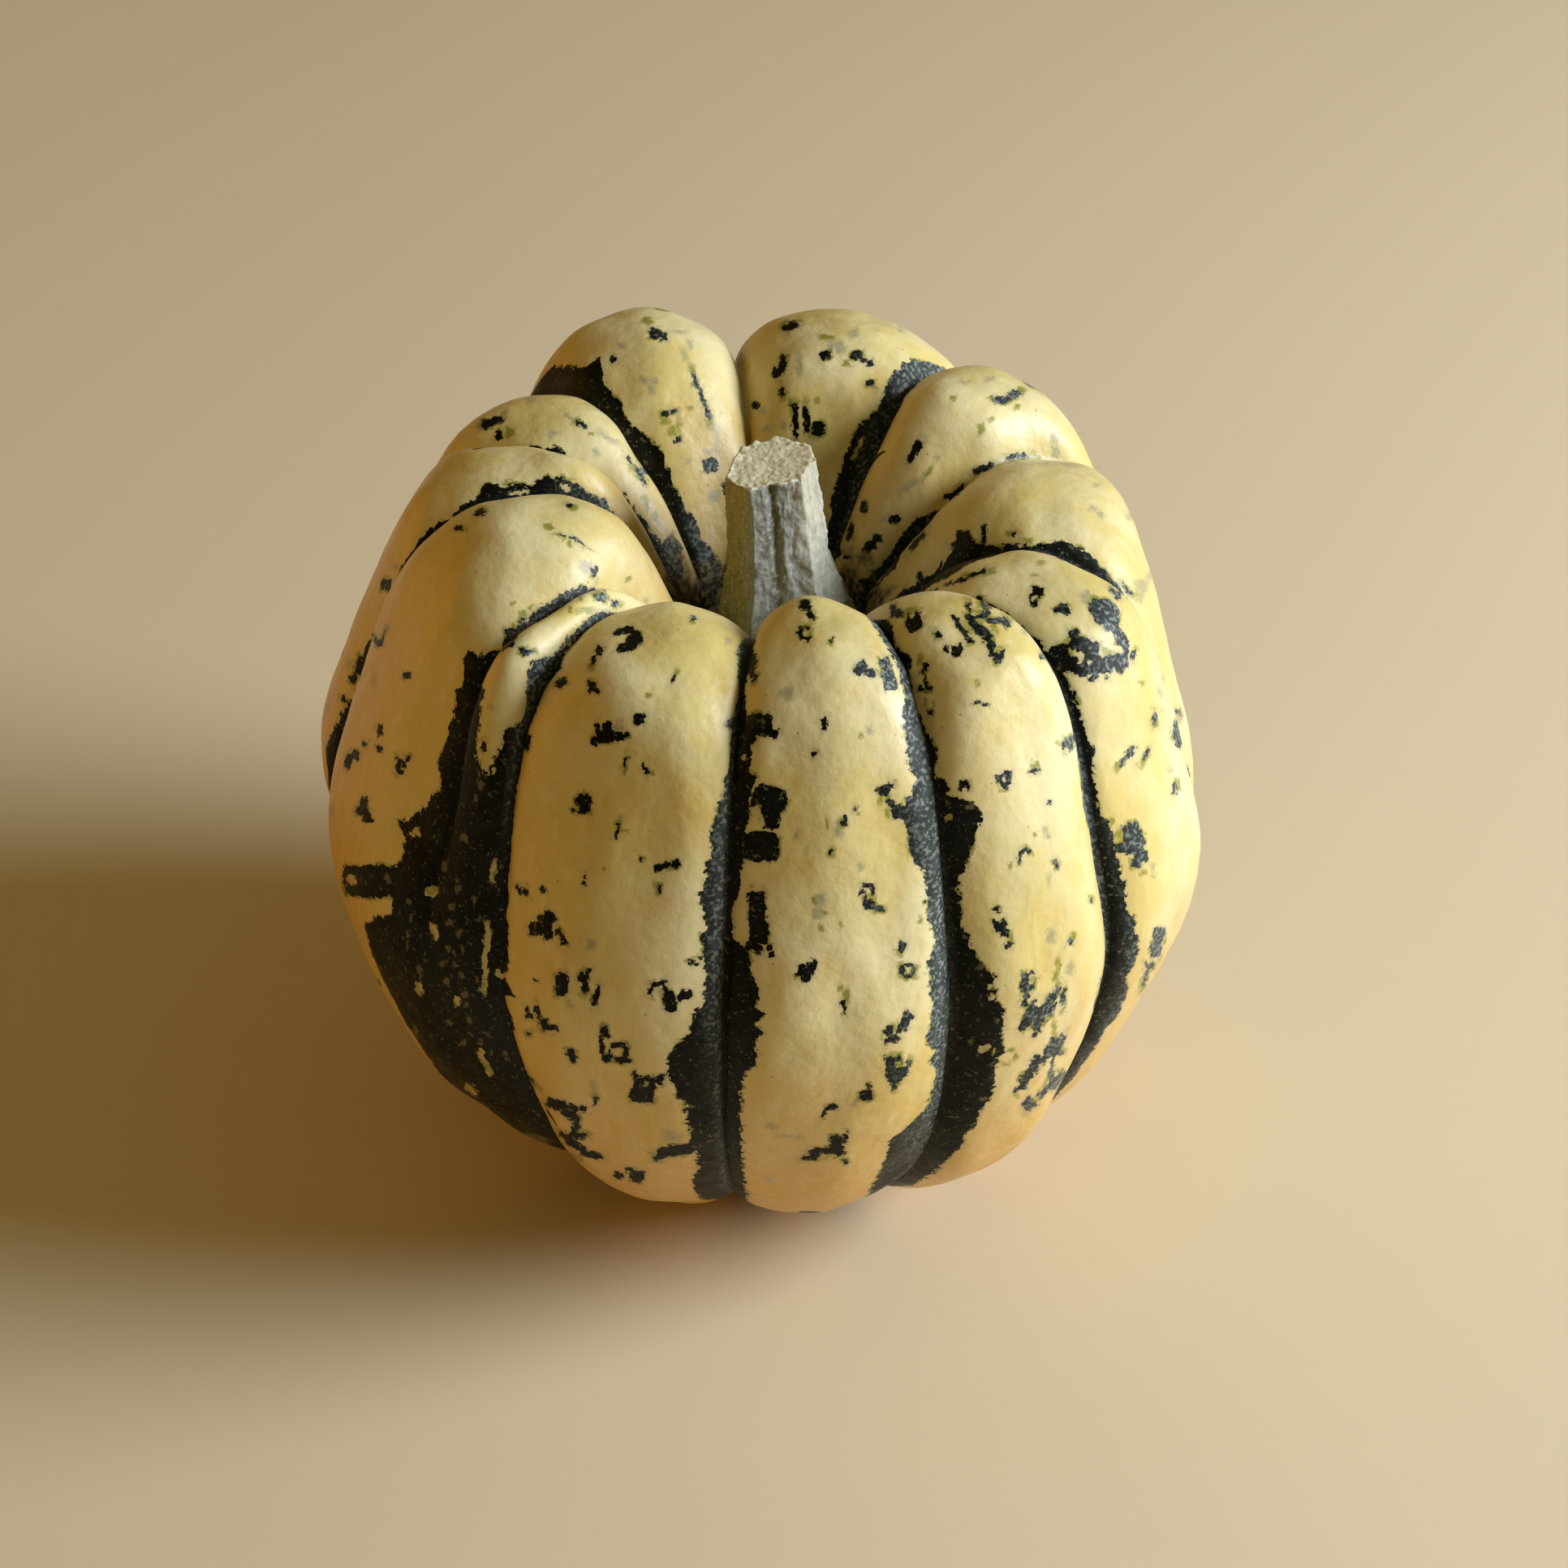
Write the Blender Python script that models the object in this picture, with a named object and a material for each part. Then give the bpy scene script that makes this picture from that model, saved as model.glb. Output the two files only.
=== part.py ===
"""Sweet dumpling squash: a small ribbed winter squash with its cut, dried stem.

The fruit grew as one piece, so its skin is one closed surface. Two outlines drive it, one along
the crest of a rib and one along the crease between two ribs, and every rib then gets its own
width, height and bulge. The stem is a separate, corky, five-angled piece that stands on the
floor of the crater.

Lengths are millimetres and angles are degrees until the last step, which turns them to metres.
Azimuth 0 is the front, towards -Y, and azimuths grow towards +X.
"""

import math
from collections import namedtuple

import bmesh
import bpy

MM = 0.001

# Place of the stem's axis, so that the middle of the whole object stands on the origin.
AXIS_X = 2.1
AXIS_Y = 0.0

# The crest outline of an average rib, as radius and height, from the crater floor down to the
# flat spot that the squash rests on.
CREST_OUTLINE = (
    (11.5, 66.0),  # edge of the crater floor
    (13.0, 73.5),  # steep crater wall
    (22.5, 87.0),  # inner shoulder
    (32.0, 90.0),  # top of the rim
    (43.0, 85.5),  # outer shoulder
    (50.7, 65.0),
    (54.0, 46.0),  # belly, the widest part
    (46.0, 20.5),  # turned in below the belly
    (30.5, 5.5),
    (14.0, 0.0),  # edge of the resting spot
)

# The crease outline, station by station beside the crest outline.
CREASE_OUTLINE = (
    (11.5, 66.0),
    (12.0, 69.0),
    (19.5, 77.0),
    (29.5, 85.0),
    (42.5, 79.0),
    (48.3, 62.0),
    (50.8, 44.5),
    (43.5, 22.0),
    (28.5, 6.8),
    (14.0, 0.0),
)

# A rib runs from its own crease to the crease of the next one. crease_at is the azimuth of its
# crease at the outer shoulder, and sway turns that crease further back with each station below.
# rim_out, rim_up, belly_out and low_out push its crest from the average outline, and crease_up
# lifts its crease at the rim.
Rib = namedtuple("Rib", "crease_at sway rim_out rim_up belly_out low_out crease_up")
RIBS = (
    Rib(-5.0, -0.4, -1.0, 0.0, 0.0, 0.0, 1.0),  # front, right of the middle
    Rib(23.5, 0.0, 3.0, 0.0, 0.5, 1.0, 1.0),
    Rib(48.0, 0.1, 2.0, -2.0, 0.0, -1.5, 0.5),
    Rib(74.0, 0.0, -1.0, -1.5, -3.5, -0.5, 0.0),
    Rib(114.0, 0.0, -2.0, 1.5, -1.5, 0.0, -1.5),
    Rib(146.0, 0.2, 1.5, 2.0, 0.0, 0.0, 1.5),  # back right
    Rib(187.0, -0.2, 2.0, 3.0, 0.0, 0.0, -0.5),  # back left
    Rib(225.5, 0.2, -1.5, -1.0, 0.5, 0.0, 1.0),
    Rib(250.0, 0.2, -3.5, 0.0, 1.0, 0.0, 1.0),
    Rib(274.5, 0.1, -3.5, 2.5, 0.5, -0.5, -1.0),  # broad rib on the left
    Rib(313.5, -0.1, 1.5, -2.0, -0.5, 0.0, 0.0),  # narrow twin of the broad rib
    Rib(322.5, 0.9, 0.5, -1.5, 0.0, 0.0, 0.0),  # front, left of the middle
)
SWAY_STATION = 4  # the station where a crease stands at its own azimuth

# How much of each push a station takes: rim_out, rim_up and crease_up, then belly_out, then
# low_out.
RIM_SHARE = (0.0, 0.3, 0.9, 1.0, 0.8, 0.25, 0.0, 0.0, 0.0, 0.0)
BELLY_SHARE = (0.0, 0.0, 0.0, 0.0, 0.25, 0.85, 1.0, 0.3, 0.0, 0.0)
LOW_SHARE = (0.0, 0.0, 0.0, 0.0, 0.0, 0.0, 0.1, 0.9, 0.7, 0.0)

# Below the belly the broad left rib and its narrow twin grow together and their crease ends.
TWIN_RIBS = (9, 10)
TWINS_JOIN_FROM = 4.2
TWINS_JOIN_TO = 6.2

# A rib's cross-section is (1 - u * u) to this power. A low power is a full rib in a sharp
# crease, and a higher one lets the creases run out towards the blossom end.
FULLNESS_STATIONS = (3.0, 6.0, 8.5)
FULLNESS_POWERS = (0.52, 0.6, 0.78)

# The skin's mesh: columns across each rib, and rows between one station and the next.
COLUMNS_PER_RIB = 8
ROWS_PER_SPAN = (2, 4, 4, 4, 5, 4, 5, 4, 3)

# The blossom end scar, a shallow dimple in the middle of the resting spot.
SCAR_RADIUS = 6.0
SCAR_FLOOR_RADIUS = 4.0
SCAR_DEPTH = 0.8

# The stem stands on the crater floor with a hairline gap, and leans a little to the left.
STEM_GAP = 0.3
STEM_OUTLINE = (
    (9.3, 0.0),  # spread foot on the crater floor
    (9.0, 3.0),
    (8.0, 7.5),
    (6.2, 12.0),
    (5.4, 17.0),
    (4.9, 25.0),  # cut end
)
STEM_FOOT_LEAN = (0.5, 0.0)
STEM_TOP_LEAN = (-0.3, 0.5)
STEM_ANGLES = 5
STEM_FIRST_ANGLE = 22.0
STEM_ANGLE_DEPTH = 0.1  # how far the angles stand out, as a share of the radius
STEM_SIDES = 30
STEM_ROWS = 12
CUT_TILT = 0.05  # rise of the cut face towards the back, per millimetre
CUT_RIM = 0.9  # width of the rim round the dished cut
CUT_DISH = 0.8

# Linear base colour and roughness of the two stuffs.
SKIN_COLOR = (0.72, 0.52, 0.22)
SKIN_ROUGHNESS = 0.42
STEM_COLOR = (0.36, 0.29, 0.18)
STEM_ROUGHNESS = 0.85

# Edges sharper than this stay sharp in the shading.
SHARP_ANGLE = 45.0


def mix(first, second, share):
    """Blend two tuples of numbers."""
    return tuple(a + (b - a) * share for a, b in zip(first, second))


def smooth_step(start, end, value):
    """Rise from 0 at start to 1 at end with level ends."""
    share = min(max((value - start) / (end - start), 0.0), 1.0)
    return share * share * (3.0 - 2.0 * share)


def at_station(points, station):
    """Read a smooth curve through the points, where station 1.5 lies between points 1 and 2."""
    last = len(points) - 1
    start = min(int(station), last - 1)
    t = station - start
    before, here, there, after = (
        points[min(max(start + step, 0), last)] for step in (-1, 0, 1, 2)
    )
    return tuple(
        0.5 * (2 * p1 + (p2 - p0) * t + (2 * p0 - 5 * p1 + 4 * p2 - p3) * t * t
               + (3 * p1 - p0 - 3 * p2 + p3) * t * t * t)
        for p0, p1, p2, p3 in zip(before, here, there, after)
    )


def fullness(station):
    """Power of the rib's cross-section at a station, level beyond the first and last values."""
    stations, powers = FULLNESS_STATIONS, FULLNESS_POWERS
    if station <= stations[0]:
        return powers[0]
    for k in range(len(stations) - 1):
        if station <= stations[k + 1]:
            share = (station - stations[k]) / (stations[k + 1] - stations[k])
            return powers[k] + (powers[k + 1] - powers[k]) * share
    return powers[-1]


def crest_point(index, station):
    """Radius and height of one rib's crest."""
    rib = RIBS[index]
    points = [
        (radius + rib.rim_out * rim + rib.belly_out * belly + rib.low_out * low,
         height + rib.rim_up * rim)
        for (radius, height), rim, belly, low in zip(CREST_OUTLINE, RIM_SHARE, BELLY_SHARE,
                                                     LOW_SHARE)
    ]
    return at_station(points, station)


def crease_point(index, station):
    """Radius and height of the crease where a rib starts."""
    rib = RIBS[index % len(RIBS)]
    points = [
        (radius, height + rib.crease_up * rim)
        for (radius, height), rim in zip(CREASE_OUTLINE, RIM_SHARE)
    ]
    return at_station(points, station)


def crease_azimuth(index, station):
    """Azimuth of the crease where a rib starts, counted on past 360 after the last rib."""
    turns, rib = divmod(index, len(RIBS))
    return RIBS[rib].crease_at + RIBS[rib].sway * (station - SWAY_STATION) + 360.0 * turns


def arched(first, last, crest, u, station):
    """Point across a rib from one crease at u = -1, over the crest, to the next at u = 1."""
    arch = max(1.0 - u * u, 0.0) ** fullness(station)
    return mix(mix(first, last, (1.0 + u) / 2.0), crest, arch)


def skin_point(index, u, station):
    """Point of the skin in millimetres, with the stem's axis at x = y = 0."""
    start = crease_azimuth(index, station)
    end = crease_azimuth(index + 1, station)
    azimuth = start + (end - start) * (1.0 + u) / 2.0
    point = arched(crease_point(index, station), crease_point(index + 1, station),
                   crest_point(index, station), u, station)
    if index in TWIN_RIBS:
        first, after = TWIN_RIBS[0], TWIN_RIBS[-1] + 1
        start = crease_azimuth(first, station)
        end = crease_azimuth(after, station)
        wide_u = 2.0 * (azimuth - start) / (end - start) - 1.0
        joined = arched(crease_point(first, station), crease_point(after, station),
                        crest_point(first, station), wide_u, station)
        point = mix(point, joined, smooth_step(TWINS_JOIN_FROM, TWINS_JOIN_TO, station))
    radius, height = point
    turn = math.radians(azimuth)
    return radius * math.sin(turn), -radius * math.cos(turn), max(height, 0.0)


def row_stations():
    """Stations of the mesh rows, from the crater floor's edge to the resting spot's edge."""
    stations = [0.0]
    for span, rows in enumerate(ROWS_PER_SPAN):
        stations += [span + (row + 1) / rows for row in range(rows)]
    return stations


def link_object(name, bm, material, collection):
    """Turn a mesh in millimetres into a smooth-shaded object at its place in metres."""
    bmesh.ops.translate(bm, verts=bm.verts, vec=(AXIS_X, AXIS_Y, 0.0))
    bmesh.ops.scale(bm, verts=bm.verts, vec=(MM, MM, MM))
    bmesh.ops.recalc_face_normals(bm, faces=bm.faces)
    mesh = bpy.data.meshes.new(name)
    bm.to_mesh(mesh)
    bm.free()
    mesh.shade_smooth()
    mesh.set_sharp_from_angle(angle=math.radians(SHARP_ANGLE))
    mesh.materials.append(material)
    obj = bpy.data.objects.new(name, mesh)
    collection.objects.link(obj)
    return obj


def make_material(name, color, roughness):
    """A plain Principled material with a linear base colour."""
    material = bpy.data.materials.new(name)
    material.use_nodes = True
    shader = material.node_tree.nodes["Principled BSDF"]
    shader.inputs["Base Color"].default_value = (*color, 1.0)
    shader.inputs["Roughness"].default_value = roughness
    shader.inputs["Metallic"].default_value = 0.0
    return material


def make_fruit(collection):
    """The ribbed fruit: a sphere whose rows and columns are drawn onto the ribs."""
    stations = row_stations()
    columns = COLUMNS_PER_RIB * len(RIBS)
    scar_rows = ((SCAR_RADIUS, 0.0), (SCAR_FLOOR_RADIUS, SCAR_DEPTH), (0.0, SCAR_DEPTH))
    rows = len(stations) + len(scar_rows)
    floor_height = CREST_OUTLINE[0][1]

    bm = bmesh.new()
    bmesh.ops.create_uvsphere(bm, u_segments=columns, v_segments=rows, radius=1.0)
    for vert in bm.verts:
        row = round(math.acos(min(max(vert.co.z, -1.0), 1.0)) / math.pi * rows)
        turn = math.atan2(vert.co.y, vert.co.x)
        column = round(turn / math.tau * columns) % columns
        if row == 0:
            vert.co = (0.0, 0.0, floor_height)
        elif row <= len(stations):
            rib, step = divmod(column, COLUMNS_PER_RIB)
            u = math.sin(math.pi * (step / COLUMNS_PER_RIB - 0.5))
            vert.co = skin_point(rib, u, stations[row - 1])
        else:
            radius, height = scar_rows[row - len(stations) - 1]
            vert.co = (radius * math.sin(turn), -radius * math.cos(turn), height)
    material = make_material("waxy_squash_skin", SKIN_COLOR, SKIN_ROUGHNESS)
    return link_object("fruit", bm, material, collection)


def make_stem(collection):
    """The dried stem: a tall prism bent to its outline, with five angles and a dished cut."""
    foot_height = CREST_OUTLINE[0][1] + STEM_GAP
    top_height = STEM_OUTLINE[-1][1]

    bm = bmesh.new()
    bmesh.ops.create_cone(bm, cap_ends=True, segments=STEM_SIDES, radius1=1.0, radius2=1.0,
                          depth=1.0)
    upright = [edge for edge in bm.edges if abs(edge.verts[0].co.z - edge.verts[1].co.z) > 0.5]
    bmesh.ops.subdivide_edges(bm, edges=upright, cuts=STEM_ROWS - 1)
    for vert in bm.verts:
        share = vert.co.z + 0.5
        turn = math.atan2(vert.co.x, -vert.co.y)
        radius, height = at_station(STEM_OUTLINE, share * (len(STEM_OUTLINE) - 1))
        angle = STEM_ANGLES * (turn - math.radians(STEM_FIRST_ANGLE))
        radius *= 1.0 + STEM_ANGLE_DEPTH * math.cos(angle)
        lean_x, lean_y = mix(STEM_FOOT_LEAN, STEM_TOP_LEAN, height / top_height)
        rise = CUT_TILT * smooth_step(0.5, 1.0, share) * radius * -math.cos(turn)
        vert.co = (lean_x + radius * math.sin(turn), lean_y - radius * math.cos(turn),
                   foot_height + height + rise)

    top = max(bm.faces, key=lambda face: face.calc_center_median().z)
    bmesh.ops.inset_region(bm, faces=[top], thickness=CUT_RIM, depth=0.0)
    middle = bmesh.ops.poke(bm, faces=[top])["verts"]
    bmesh.ops.translate(bm, verts=middle, vec=(0.0, 0.0, -CUT_DISH))
    material = make_material("dry_corky_stem", STEM_COLOR, STEM_ROUGHNESS)
    return link_object("stem", bm, material, collection)


def main():
    for obj in list(bpy.data.objects):
        bpy.data.objects.remove(obj, do_unlink=True)
    collection = bpy.data.collections.new("sweet_dumpling_squash")
    bpy.context.scene.collection.children.link(collection)
    make_fruit(collection)
    make_stem(collection)


main()
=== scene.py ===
# %% [markdown]
# # Sweet dumpling squash
#
# A sweet dumpling is a small winter squash, about as big as a grapefruit. It has a dozen ribs, a
# deep crater on top with a dry, angled stem, and a cream skin with dark green stripes in its
# creases and dark green flecks all over its ribs. This notebook dresses the plain model of it:
# a fine skin mesh, the stripes and flecks, the waxy finish, the corky stem, and a soft studio.
#
# The plain model comes first, because everything stands where it says.

# %% Load the plain model
import math
import random
from collections import namedtuple

import bpy
import numpy as np
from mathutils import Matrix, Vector, noise


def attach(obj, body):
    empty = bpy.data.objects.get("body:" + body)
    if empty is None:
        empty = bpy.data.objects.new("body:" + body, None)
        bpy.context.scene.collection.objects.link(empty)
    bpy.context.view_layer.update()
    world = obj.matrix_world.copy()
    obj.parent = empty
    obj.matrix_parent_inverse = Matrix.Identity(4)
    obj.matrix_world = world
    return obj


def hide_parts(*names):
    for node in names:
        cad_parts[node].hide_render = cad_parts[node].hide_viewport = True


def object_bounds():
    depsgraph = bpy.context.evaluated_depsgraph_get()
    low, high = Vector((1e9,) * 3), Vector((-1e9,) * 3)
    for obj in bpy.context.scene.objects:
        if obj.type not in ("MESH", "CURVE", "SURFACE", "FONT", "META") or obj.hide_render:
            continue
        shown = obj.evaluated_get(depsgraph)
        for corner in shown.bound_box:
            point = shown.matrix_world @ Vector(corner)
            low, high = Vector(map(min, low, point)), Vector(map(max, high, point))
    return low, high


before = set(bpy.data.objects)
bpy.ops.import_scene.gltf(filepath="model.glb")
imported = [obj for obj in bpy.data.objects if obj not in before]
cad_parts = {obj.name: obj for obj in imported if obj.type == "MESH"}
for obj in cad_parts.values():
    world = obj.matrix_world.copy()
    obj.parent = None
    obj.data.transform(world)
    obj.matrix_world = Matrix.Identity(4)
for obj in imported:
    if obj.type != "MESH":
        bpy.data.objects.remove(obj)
cad_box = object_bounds()
bpy.ops.object.select_all(action="DESELECT")
MM = 0.001
print("plain model", [round(side / MM, 1) for side in cad_box[1] - cad_box[0]], "mm")

# %% [markdown]
# ## The camera
#
# The photograph was taken from about 35 degrees above the squash with a long lens. The camera is
# made before the marks, because the marks are placed with it: each one is read off the photograph
# as a pixel and then cast through this camera onto the skin. Its distance and its angle were
# worked out from how the ribs' creases line up.

# %% Camera at the photograph's angle
PHOTO_SIDE = 1932  # pixels along each side of the photograph
PHOTO_MIDDLE = PHOTO_SIDE / 2
CAMERA_RISE = 35.3  # degrees above the horizon
CAMERA_DISTANCE = 468.5 * MM
CAMERA_ROLL = 0.28  # degrees
AIM = Vector((3.7, 0.0, 46.6)) * MM
LENS = 88.84  # millimetres, on a 36 mm sensor
SENSOR = 36.0
PIXELS_PER_RATIO = PHOTO_SIDE * LENS / SENSOR


def add_camera():
    rise = math.radians(CAMERA_RISE)
    back = Vector((0.0, -math.cos(rise), math.sin(rise)))
    bpy.ops.object.camera_add(location=AIM + back * CAMERA_DISTANCE)
    camera = bpy.context.object
    camera.name = "photo_camera"
    camera.rotation_mode = "QUATERNION"
    turn = (-back).to_track_quat("-Z", "Y").to_matrix().to_4x4()
    roll = turn.Rotation(math.radians(CAMERA_ROLL), 4, "Z")
    camera.rotation_quaternion = (turn @ roll).to_quaternion()
    camera.data.lens = LENS
    camera.data.sensor_width = SENSOR
    camera.data.clip_start = 0.01
    bpy.context.scene.camera = camera
    bpy.context.view_layer.update()
    return camera


camera = add_camera()
TO_CAMERA = np.array(camera.matrix_world.inverted())


def photo_pixels(points):
    """Where points in metres appear in the photograph, in pixels."""
    seen = points @ TO_CAMERA[:3, :3].T + TO_CAMERA[:3, 3]
    across = PHOTO_MIDDLE + PIXELS_PER_RATIO * seen[:, 0] / -seen[:, 2]
    down = PHOTO_MIDDLE - PIXELS_PER_RATIO * seen[:, 1] / -seen[:, 2]
    return np.stack([across, down], axis=1)


def pixel_ray(x, y):
    """Start and direction of the line of sight through a pixel of the photograph."""
    aim = Vector((x - PHOTO_MIDDLE, PHOTO_MIDDLE - y, -PIXELS_PER_RATIO))
    return camera.location.copy(), (camera.matrix_world.to_3x3() @ aim).normalized()


print("camera", [round(value / MM) for value in camera.location], "mm")

# %% [markdown]
# ## The shape of the skin
#
# A squash is drawn by two outlines, one along the crest of a rib and one along the crease between
# two ribs. A station is a place on an outline: 0 is the edge of the crater floor, 3 the top of
# the rim, 6 the belly and 9 the edge of the flat spot underneath. Each rib has its own width and
# its own push from the average outline. These are the plain model's own values in millimetres.
# The same shape could be sculpted by hand, but a formula keeps it true to the plain model.

# %% Outlines and ribs
AXIS = (2.1, 0.0)  # the stem's axis, from the middle of the object
CREST_OUTLINE = np.array(
    [(11.5, 66), (13, 73.5), (22.5, 87), (32, 90), (43, 85.5), (50.7, 65), (54, 46), (46, 20.5),
     (30.5, 5.5), (14, 0)])
CREASE_OUTLINE = np.array(
    [(11.5, 66), (12, 69), (19.5, 77), (29.5, 85), (42.5, 79), (48.3, 62), (50.8, 44.5),
     (43.5, 22), (28.5, 6.8), (14, 0)])
RIM_SHARE = np.array([0, 0.3, 0.9, 1, 0.8, 0.25, 0, 0, 0, 0])
BELLY_SHARE = np.array([0, 0, 0, 0, 0.25, 0.85, 1, 0.3, 0, 0])
LOW_SHARE = np.array([0, 0, 0, 0, 0, 0, 0.1, 0.9, 0.7, 0])
LAST_STATION = 9
SWAY_STATION = 4
FULLNESS = ((3.0, 6.0, 8.5), (0.52, 0.6, 0.78))  # stations, powers of the rib's cross-section

Rib = namedtuple("Rib", "crease_at sway rim_out rim_up belly_out low_out crease_up")
RIBS = (
    Rib(-5.0, -0.4, -1.0, 0.0, 0.0, 0.0, 1.0),
    Rib(23.5, 0.0, 3.0, 0.0, 0.5, 1.0, 1.0),
    Rib(48.0, 0.1, 2.0, -2.0, 0.0, -1.5, 0.5),
    Rib(74.0, 0.0, -1.0, -1.5, -3.5, -0.5, 0.0),
    Rib(114.0, 0.0, -2.0, 1.5, -1.5, 0.0, -1.5),
    Rib(146.0, 0.2, 1.5, 2.0, 0.0, 0.0, 1.5),
    Rib(187.0, -0.2, 2.0, 3.0, 0.0, 0.0, -0.5),
    Rib(225.5, 0.2, -1.5, -1.0, 0.5, 0.0, 1.0),
    Rib(250.0, 0.2, -3.5, 0.0, 1.0, 0.0, 1.0),
    Rib(274.5, 0.1, -3.5, 2.5, 0.5, -0.5, -1.0),
    Rib(313.5, -0.1, 1.5, -2.0, -0.5, 0.0, 0.0),
    Rib(322.5, 0.9, 0.5, -1.5, 0.0, 0.0, 0.0),
)
TWIN_RIBS = (9, 10)
TWINS_JOIN = (4.2, 6.2)


def smooth_step(start, end, value):
    share = np.clip((value - start) / (end - start), 0.0, 1.0)
    return share * share * (3.0 - 2.0 * share)


def at_station(points, station):
    """Read a smooth curve through the points at an array of stations."""
    last = len(points) - 1
    start = np.minimum(station.astype(int), last - 1)
    t = (station - start)[:, None]
    p0, p1, p2, p3 = (points[np.clip(start + step, 0, last)] for step in (-1, 0, 1, 2))
    return 0.5 * (2 * p1 + (p2 - p0) * t + (2 * p0 - 5 * p1 + 4 * p2 - p3) * t ** 2
                  + (3 * p1 - p0 - 3 * p2 + p3) * t ** 3)


def crest_line(index, station):
    rib = RIBS[index]
    points = CREST_OUTLINE.astype(float)
    points[:, 0] += rib.rim_out * RIM_SHARE + rib.belly_out * BELLY_SHARE + rib.low_out * LOW_SHARE
    points[:, 1] += rib.rim_up * RIM_SHARE
    return at_station(points, station)


def crease_line(index, station):
    points = CREASE_OUTLINE.astype(float)
    points[:, 1] += RIBS[index % len(RIBS)].crease_up * RIM_SHARE
    return at_station(points, station)


def crease_azimuth(index, station):
    turns, rib = divmod(index, len(RIBS))
    return RIBS[rib].crease_at + RIBS[rib].sway * (station - SWAY_STATION) + 360.0 * turns


def arched(first, last, crest, u, station):
    """A rib's cross-section from one crease over its crest to the next."""
    arch = np.clip(1.0 - u * u, 0.0, 1.0) ** np.interp(station, *FULLNESS)
    base = first + (last - first) * ((1.0 + u) / 2.0)[:, None]
    return base + (crest - base) * arch[:, None]


def skin_line(index, u, station):
    """Points down the skin at one place u across a rib, in millimetres from the stem's axis."""
    start = crease_azimuth(index, station)
    end = crease_azimuth(index + 1, station)
    azimuth = start + (end - start) * (1.0 + u) / 2.0
    across = np.full_like(station, u)
    line = arched(crease_line(index, station), crease_line(index + 1, station),
                  crest_line(index, station), across, station)
    if index in TWIN_RIBS:
        first, after = TWIN_RIBS[0], TWIN_RIBS[-1] + 1
        start, end = crease_azimuth(first, station), crease_azimuth(after, station)
        across = 2.0 * (azimuth - start) / (end - start) - 1.0
        joined = arched(crease_line(first, station), crease_line(after, station),
                        crest_line(first, station), across, station)
        line += (joined - line) * smooth_step(*TWINS_JOIN, station)[:, None]
    turn = np.radians(azimuth)
    return np.stack([line[:, 0] * np.sin(turn), -line[:, 0] * np.cos(turn),
                     np.maximum(line[:, 1], 0.0)], axis=1)


# %% [markdown]
# ## The fine skin mesh
#
# The mesh starts as a cylinder with its side cut into rings, because that is already one closed
# skin: its top goes to the crater floor and its bottom to the blossom end. Each rib gets columns
# by its width, packed closer near its creases, and the rings lie about 0.64 mm apart down the
# outline. A subdivided copy of the plain model would be quicker, but its columns are too wide
# apart to carry the flecks.

# %% Columns and rows
COLUMNS_ROUND = 384
FEWEST_COLUMNS = 14
OUTLINE_ROWS = 241
CREASE_PACKING = 0.5  # 0 spaces the columns evenly, 1 packs them by a sine
FLOOR_RADII = (0.0, 4.0, 8.0)  # the first is the middle of the crater floor
SCAR_ROWS = ((12.0, 0.0), (9.5, 0.0), (7.5, 0.0), (6.2, 0.05), (5.4, 0.4), (4.6, 0.75),
             (3.2, 0.8), (1.5, 0.7), (0.0, 0.9))  # radius and height under the squash


def rib_columns():
    """Rib number and place across the rib, for each column of the mesh."""
    ribs, places = [], []
    for index in range(len(RIBS)):
        width = crease_azimuth(index + 1, SWAY_STATION) - crease_azimuth(index, SWAY_STATION)
        count = max(FEWEST_COLUMNS, round(COLUMNS_ROUND * width / 360.0))
        even = np.arange(count) / count * 2.0 - 1.0
        packed = np.sin(even * math.pi / 2.0)
        ribs += [index] * count
        places += list(even + (packed - even) * CREASE_PACKING)
    return np.array(ribs), np.array(places)


def row_stations():
    """Stations of the rows from the crater floor's edge to the flat spot's edge."""
    fine = np.linspace(0.0, LAST_STATION, 400)
    steps = np.linalg.norm(np.diff(at_station(CREST_OUTLINE.astype(float), fine), axis=0), axis=1)
    length = np.concatenate([[0.0], np.cumsum(steps)])
    return np.interp(np.linspace(0.0, length[-1], OUTLINE_ROWS), length, fine)


column_rib, column_place = rib_columns()
stations = row_stations()
columns = len(column_rib)
first_row = len(FLOOR_RADII)
rows = first_row + OUTLINE_ROWS + len(SCAR_ROWS)
print("skin mesh", columns, "columns,", rows, "rows,", 2 * columns * (rows - 2), "triangles")

# %% A cylinder cut into rings
MOST_CUTS = 90  # cuts that one subdivide may make


def select_upright_edges(mesh):
    bpy.ops.object.mode_set(mode="EDIT")
    bpy.ops.mesh.select_mode(type="EDGE")
    bpy.ops.mesh.select_all(action="DESELECT")
    bpy.ops.object.mode_set(mode="OBJECT")
    for edge in mesh.edges:
        foot, head = (mesh.vertices[end].co for end in edge.vertices)
        edge.select = abs(foot.z - head.z) > 1e-4


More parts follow.
